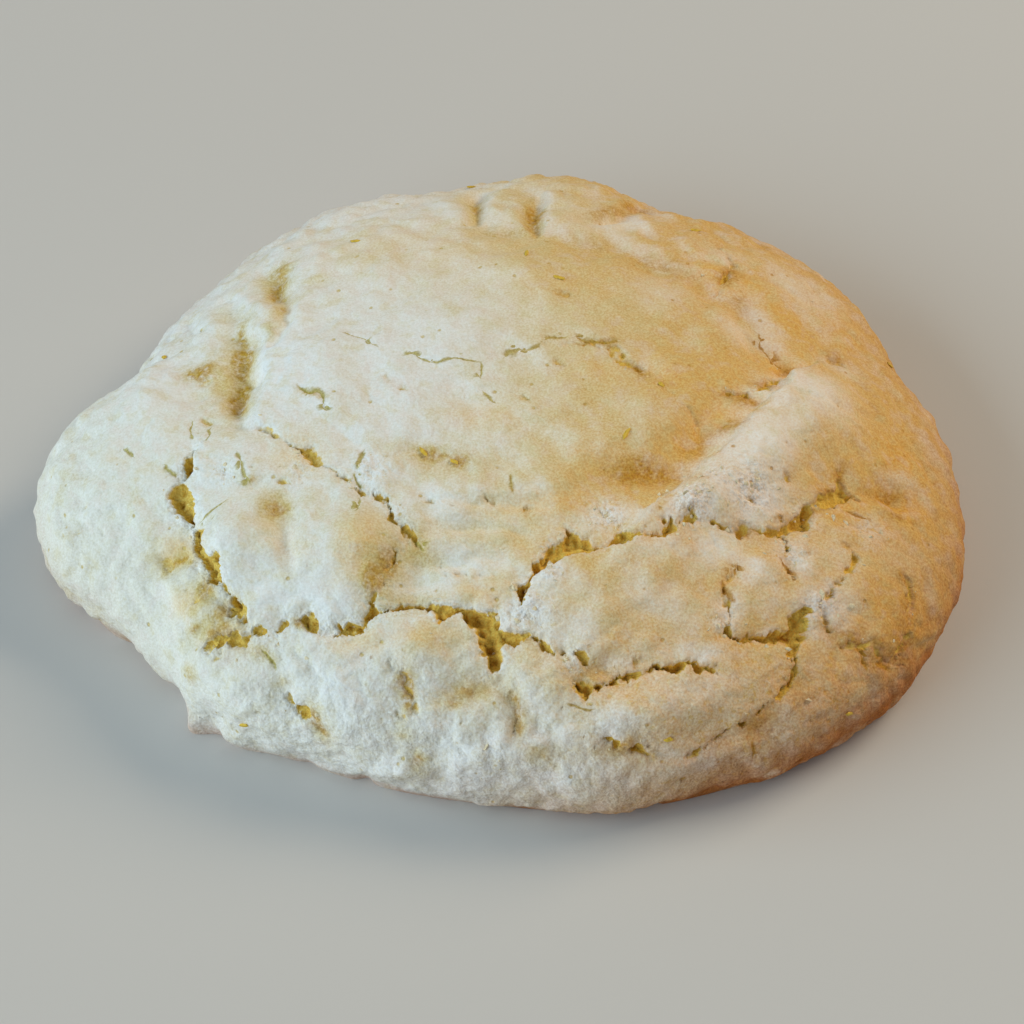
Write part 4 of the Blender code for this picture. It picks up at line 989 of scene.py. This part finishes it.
def add_node(tree, kind, inputs, **settings):
    """New node with its settings, each input set to a value or linked to what another node puts out."""
    node = tree.nodes.new(kind)
    for name, value in settings.items():
        setattr(node, name, value)
    for name, value in inputs.items():
        if isinstance(value, Output):
            tree.links.new(value.socket, node.inputs[name])
        else:
            node.inputs[name].default_value = value
    return node


class Output:
    """What a shader node puts out, open to plain arithmetic where it is a number."""

    def __init__(self, socket):
        self.socket = socket
        self.tree = socket.id_data

    def combined(self, operation, other=0.0):
        node = add_node(self.tree, "ShaderNodeMath", {0: self, 1: other}, operation=operation)
        return Output(node.outputs["Value"])

    def __add__(self, other):
        return self.combined("ADD", other)

    def __sub__(self, other):
        return self.combined("SUBTRACT", other)

    def __mul__(self, other):
        return self.combined("MULTIPLY", other)

    def __rsub__(self, other):
        return self * -1 + other

    def __abs__(self):
        return self.combined("ABSOLUTE")

    __radd__ = __add__
    __rmul__ = __mul__


def grain(place, wavelength, finer_waves):
    """Noise from 0 to 1, its wavelength in millimetres."""
    inputs = {"Vector": place, "Scale": 1 / wavelength, "Detail": finer_waves, "Roughness": GRAIN_ROUGHNESS}
    return Output(add_node(place.tree, "ShaderNodeTexNoise", inputs).outputs["Fac"])


def nearest_cell(place, size, feature="F1"):
    """Distance from the middle of the nearest cell, as a share of the cells' size, and the cell's colour."""
    inputs = {"Vector": place, "Scale": 1 / size}
    outputs = add_node(place.tree, "ShaderNodeTexVoronoi", inputs, feature=feature).outputs
    return Output(outputs["Distance"]), Output(outputs["Color"])


def ramp(value, low, high):
    """0 at the low end and 1 at the high end, with a smooth climb between."""
    inputs = {"Value": value, "From Min": low, "From Max": high}
    node = add_node(value.tree, "ShaderNodeMapRange", inputs, interpolation_type="SMOOTHSTEP")
    return Output(node.outputs["Result"])


def mixed(share, first, second, blend="MIX"):
    """Colour between two others, each put out by a node or given as 0 to 255 values."""
    tree = (share if isinstance(share, Output) else first).tree
    first, second = (linear(colour) if isinstance(colour, tuple) else colour for colour in (first, second))
    inputs = {0: share, 6: first, 7: second}
    return Output(add_node(tree, "ShaderNodeMix", inputs, data_type="RGBA", blend_type=blend).outputs[2])


def plain_tree(name):
    """New material, and the place on the object in millimetres."""
    material = bpy.data.materials.new(name)
    material.use_nodes = True
    tree = material.node_tree
    place = Output(tree.nodes.new("ShaderNodeTexCoord").outputs["Object"])
    scaled = add_node(tree, "ShaderNodeVectorMath", {0: place, "Scale": 1 / MM}, operation="SCALE")
    return material, Output(scaled.outputs["Vector"])


def dress(material, colour, relief, depth, **values):
    """Gives a material its colour, its finest relief with its depth in millimetres, and its other values."""
    tree = material.node_tree
    surface = tree.nodes["Principled BSDF"]
    inputs = {"Height": relief, "Strength": RELIEF_STRENGTH, "Distance": depth * MM}
    bump = add_node(tree, "ShaderNodeBump", inputs)
    tree.links.new(colour.socket, surface.inputs["Base Color"])
    tree.links.new(bump.outputs["Normal"], surface.inputs["Normal"])
    for name, value in values.items():
        surface.inputs[name.replace("_", " ")].default_value = value


def baked_material():
    """Pale baked dough: tan in its hollows as painted shade, golden where torn open, partly a painted glow,
    browned at the foot.
    """
    material, place = plain_tree("cookie_crust")
    tree = place.tree
    marks = [add_node(tree, "ShaderNodeAttribute", {}, attribute_name=name).outputs["Fac"] for name in MARKS]
    gilt_shade_and_light, line, beside_line, crack, tan, smear_and_shade, *marks = map(Output, marks)
    white_and_lit, broken, warm, pale, floury_and_lit, bake_and_warm_light = marks
    across, along, _ = map(Output, add_node(tree, "ShaderNodeSeparateXYZ", {"Vector": place}).outputs)
    kinds = (BROAD, BLOTCH, MOTTLE, SPECKLE, SAND)
    broad, blotch, mottle, speckle, sand = (grain(place, *kind) for kind in kinds)
    granules, _ = nearest_cell(place, GRANULE_SIZE, "SMOOTH_F1")
    lumps, grit = (nearest_cell(place, size)[0] for size in LUMP_SIZES)
    crumb_gaps = 0.6 - 0.6 * lumps + 0.5 * grit
    pore_distance, pore_colour = nearest_cell(place, PORE_SPACING)
    chosen = Output(add_node(tree, "ShaderNodeSeparateColor", {"Color": pore_colour}).outputs["Red"])
    pore = PORE_SHARE * ramp(pore_distance, *PORE_RADIUS) * ramp(chosen, *PORE_CHANCE)

    # white, bluer on the left and warmer on the right as painted light
    white = mixed(warm, *WHITE)
    tan_with_painted_shade = tan + 0.4 * blotch - 0.22 + 0.25 * ramp(broad, 0.40, 0.70)
    smear_and_shade_tone = mixed(warm, mixed(ramp(smear_and_shade, 0.6, 1), SMEAR_AND_SHADE_YELLOW, SMEAR_AND_SHADE_DEEP), SMEAR_AND_SHADE_BROWN)
    torn = broken * ramp(speckle, 0.30, 0.5) * (1 - 0.8 * smear_and_shade)
    ragged = crack * (1.2 * speckle + 0.4)
    browner = ramp(across, *CRACKS_BROWNER)
    off_line = abs(beside_line + 5 * grain(place, *LINE_WANDER) - 2.5)
    shown_line = line * ramp(off_line, 10 * grain(place, *LINE_GAPS) - 3.2, 0.3)
    # paler on the left, creamier on the right: partly painted cool and warm light
    colour = mixed(ramp(warm, 0, 0.5), PALE, CREAM)
    # how far each coat covers the ones before it, and its colour; the ramps pick out parts of a grain
    for share, tone in (
        # tan of the crust, with painted shade in its hollows and on slopes facing away, and painted warm
        # light
        (ramp(tan_with_painted_shade, 0, 1), mixed(warm, YELLOW_TAN, WARM_TAN)),
        # white as flour, partly painted cool light on the left
        (0.6 * floury_and_lit, FLOURY_AND_LIT),
        # painted light on the slopes that face the cool light
        (0.5 * pale, white),
        # white places, many of them painted light
        (0.7 * white_and_lit, white),
        # gold, in part painted shade and painted warm light
        (gilt_shade_and_light * ramp(blotch, 0, 0.5), mixed(warm, *GILT)),
        # smears, partly painted shade in the creases
        (smear_and_shade * ramp(speckle, 0.15, 0.6), smear_and_shade_tone),
        (0.35 * ramp(mottle, 0.5, 0.7), YELLOW_TAN),
        (0.25 * ramp(mottle, 0.5, 0.3), ROSY),
        (0.85 * torn, white),
        # painted shade in the gaps between the crumbs
        (0.35 * broken * ramp(crumb_gaps, 0.45, 0.75), smear_and_shade_tone),
        # painted shade in the pinholes
        (pore, smear_and_shade_tone),
        # browned at the foot, with painted warm light up the back and the right
        (bake_and_warm_light * ramp(blotch, 0, 0.6), BAKED_AND_WARM_LIT),
        # gold in the cracks, partly the crumb's colour, partly a painted glow
        (ramp(ragged, 0.10, 0.35), mixed(browner, *CRACK_GOLD)),
        # brown where the cracks are deepest: painted shade
        (ramp(ragged, 0.8, 1.5), mixed(browner, *CRACK_BROWN)),
        # painted shade along the fine cracks
        (0.85 * shown_line, mixed(warm, *LINE_TONE)),
    ):
        colour = mixed(share, colour, tone)
    colour = mixed(0.45, colour, ramp(sand, 0.25, 0.75), "SOFT_LIGHT")

    relief = SAND_RELIEF * sand + speckle - GRANULE_RELIEF * granules - pore
    relief = relief * (1 - BACK_SMOOTHED * ramp(along, *SMOOTHER_BACK)) - CRUMB_RELIEF * crumb_gaps * broken
    dress(material, colour, relief, CRUST_RELIEF, Roughness=0.88, Specular_IOR_Level=0.25)
    return material


def plain_material(name, colour, roughness, wavelength):
    """Matt colour with a little unevenness."""
    material, place = plain_tree(name)
    tone = grain(place, wavelength, 3)
    darker = [DARKER * part for part in linear(colour)[:3]] + [1]
    dress(material, mixed(ramp(tone, 0.3, 0.6), darker, colour), tone, PIECE_RELIEF, Roughness=roughness)
    return material


def stage_floor():
    """Pale floor under the cookie."""
    bpy.ops.mesh.primitive_plane_add(size=FLOOR_SIZE)
    floor = bpy.context.object
    floor.name = "floor"
    material = bpy.data.materials.new("floor")
    material.use_nodes = True
    surface = material.node_tree.nodes["Principled BSDF"]
    surface.inputs["Base Color"].default_value = linear(FLOOR_COLOUR)
    surface.inputs["Roughness"].default_value = 0.8
    floor.data.materials.append(material)
    return floor


def add_light(name, place, size, power, colour):
    """Soft light of some width and height that faces the cookie."""
    lamp = bpy.data.lights.new(name, "AREA")
    lamp.shape = "RECTANGLE"
    lamp.size, lamp.size_y = size
    lamp.energy = power
    lamp.color = colour
    light = add_object(name, lamp)
    light.location = place
    light.rotation_euler = (-Vector(place)).to_track_quat("-Z", "Y").to_euler()


def light_stage():
    """Cool soft light from the left, a little warm light from behind on the right, and a pale room."""
    for light in LIGHTS:
        add_light(*light)
    world = bpy.data.worlds.new("room")
    world.use_nodes = True
    room = world.node_tree.nodes["Background"]
    room.inputs["Color"].default_value = (*ROOM_COLOUR, 1)
    room.inputs["Strength"].default_value = ROOM_STRENGTH
    bpy.context.scene.world = world
    bpy.context.scene.view_settings.view_transform = "Standard"


def add_camera():
    """The photograph's view: from the front, 47 degrees up."""
    data = bpy.data.cameras.new("camera")
    data.sensor_width = SENSOR_WIDTH
    data.lens = SENSOR_WIDTH * CAMERA_DISTANCE / VIEW_WIDTH
    data.clip_start = 0.01
    camera = add_object("camera", data)
    back = Vector((0, -math.cos(CAMERA_ELEVATION), math.sin(CAMERA_ELEVATION)))
    camera.location = (Vector(CAMERA_TARGET) + CAMERA_DISTANCE * back) * MM
    camera.rotation_euler = (-back).to_track_quat("-Z", "Y").to_euler()
    bpy.context.scene.camera = camera


add_camera()
floor = stage_floor()
light_stage()
crust_piece = make_cookie()
crust_piece.data.materials.append(baked_material())
crumb_piece = make_crumbs()
crumb_piece.data.materials.append(plain_material("crumb", CRUMB_COLOUR, roughness=0.9, wavelength=0.2))
zest_piece = make_zest()
zest_piece.data.materials.append(plain_material("zest", ZEST_COLOUR, roughness=0.55, wavelength=0.3))
for piece in (crust_piece, crumb_piece, zest_piece):
    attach(piece, "root")
    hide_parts("cookie")
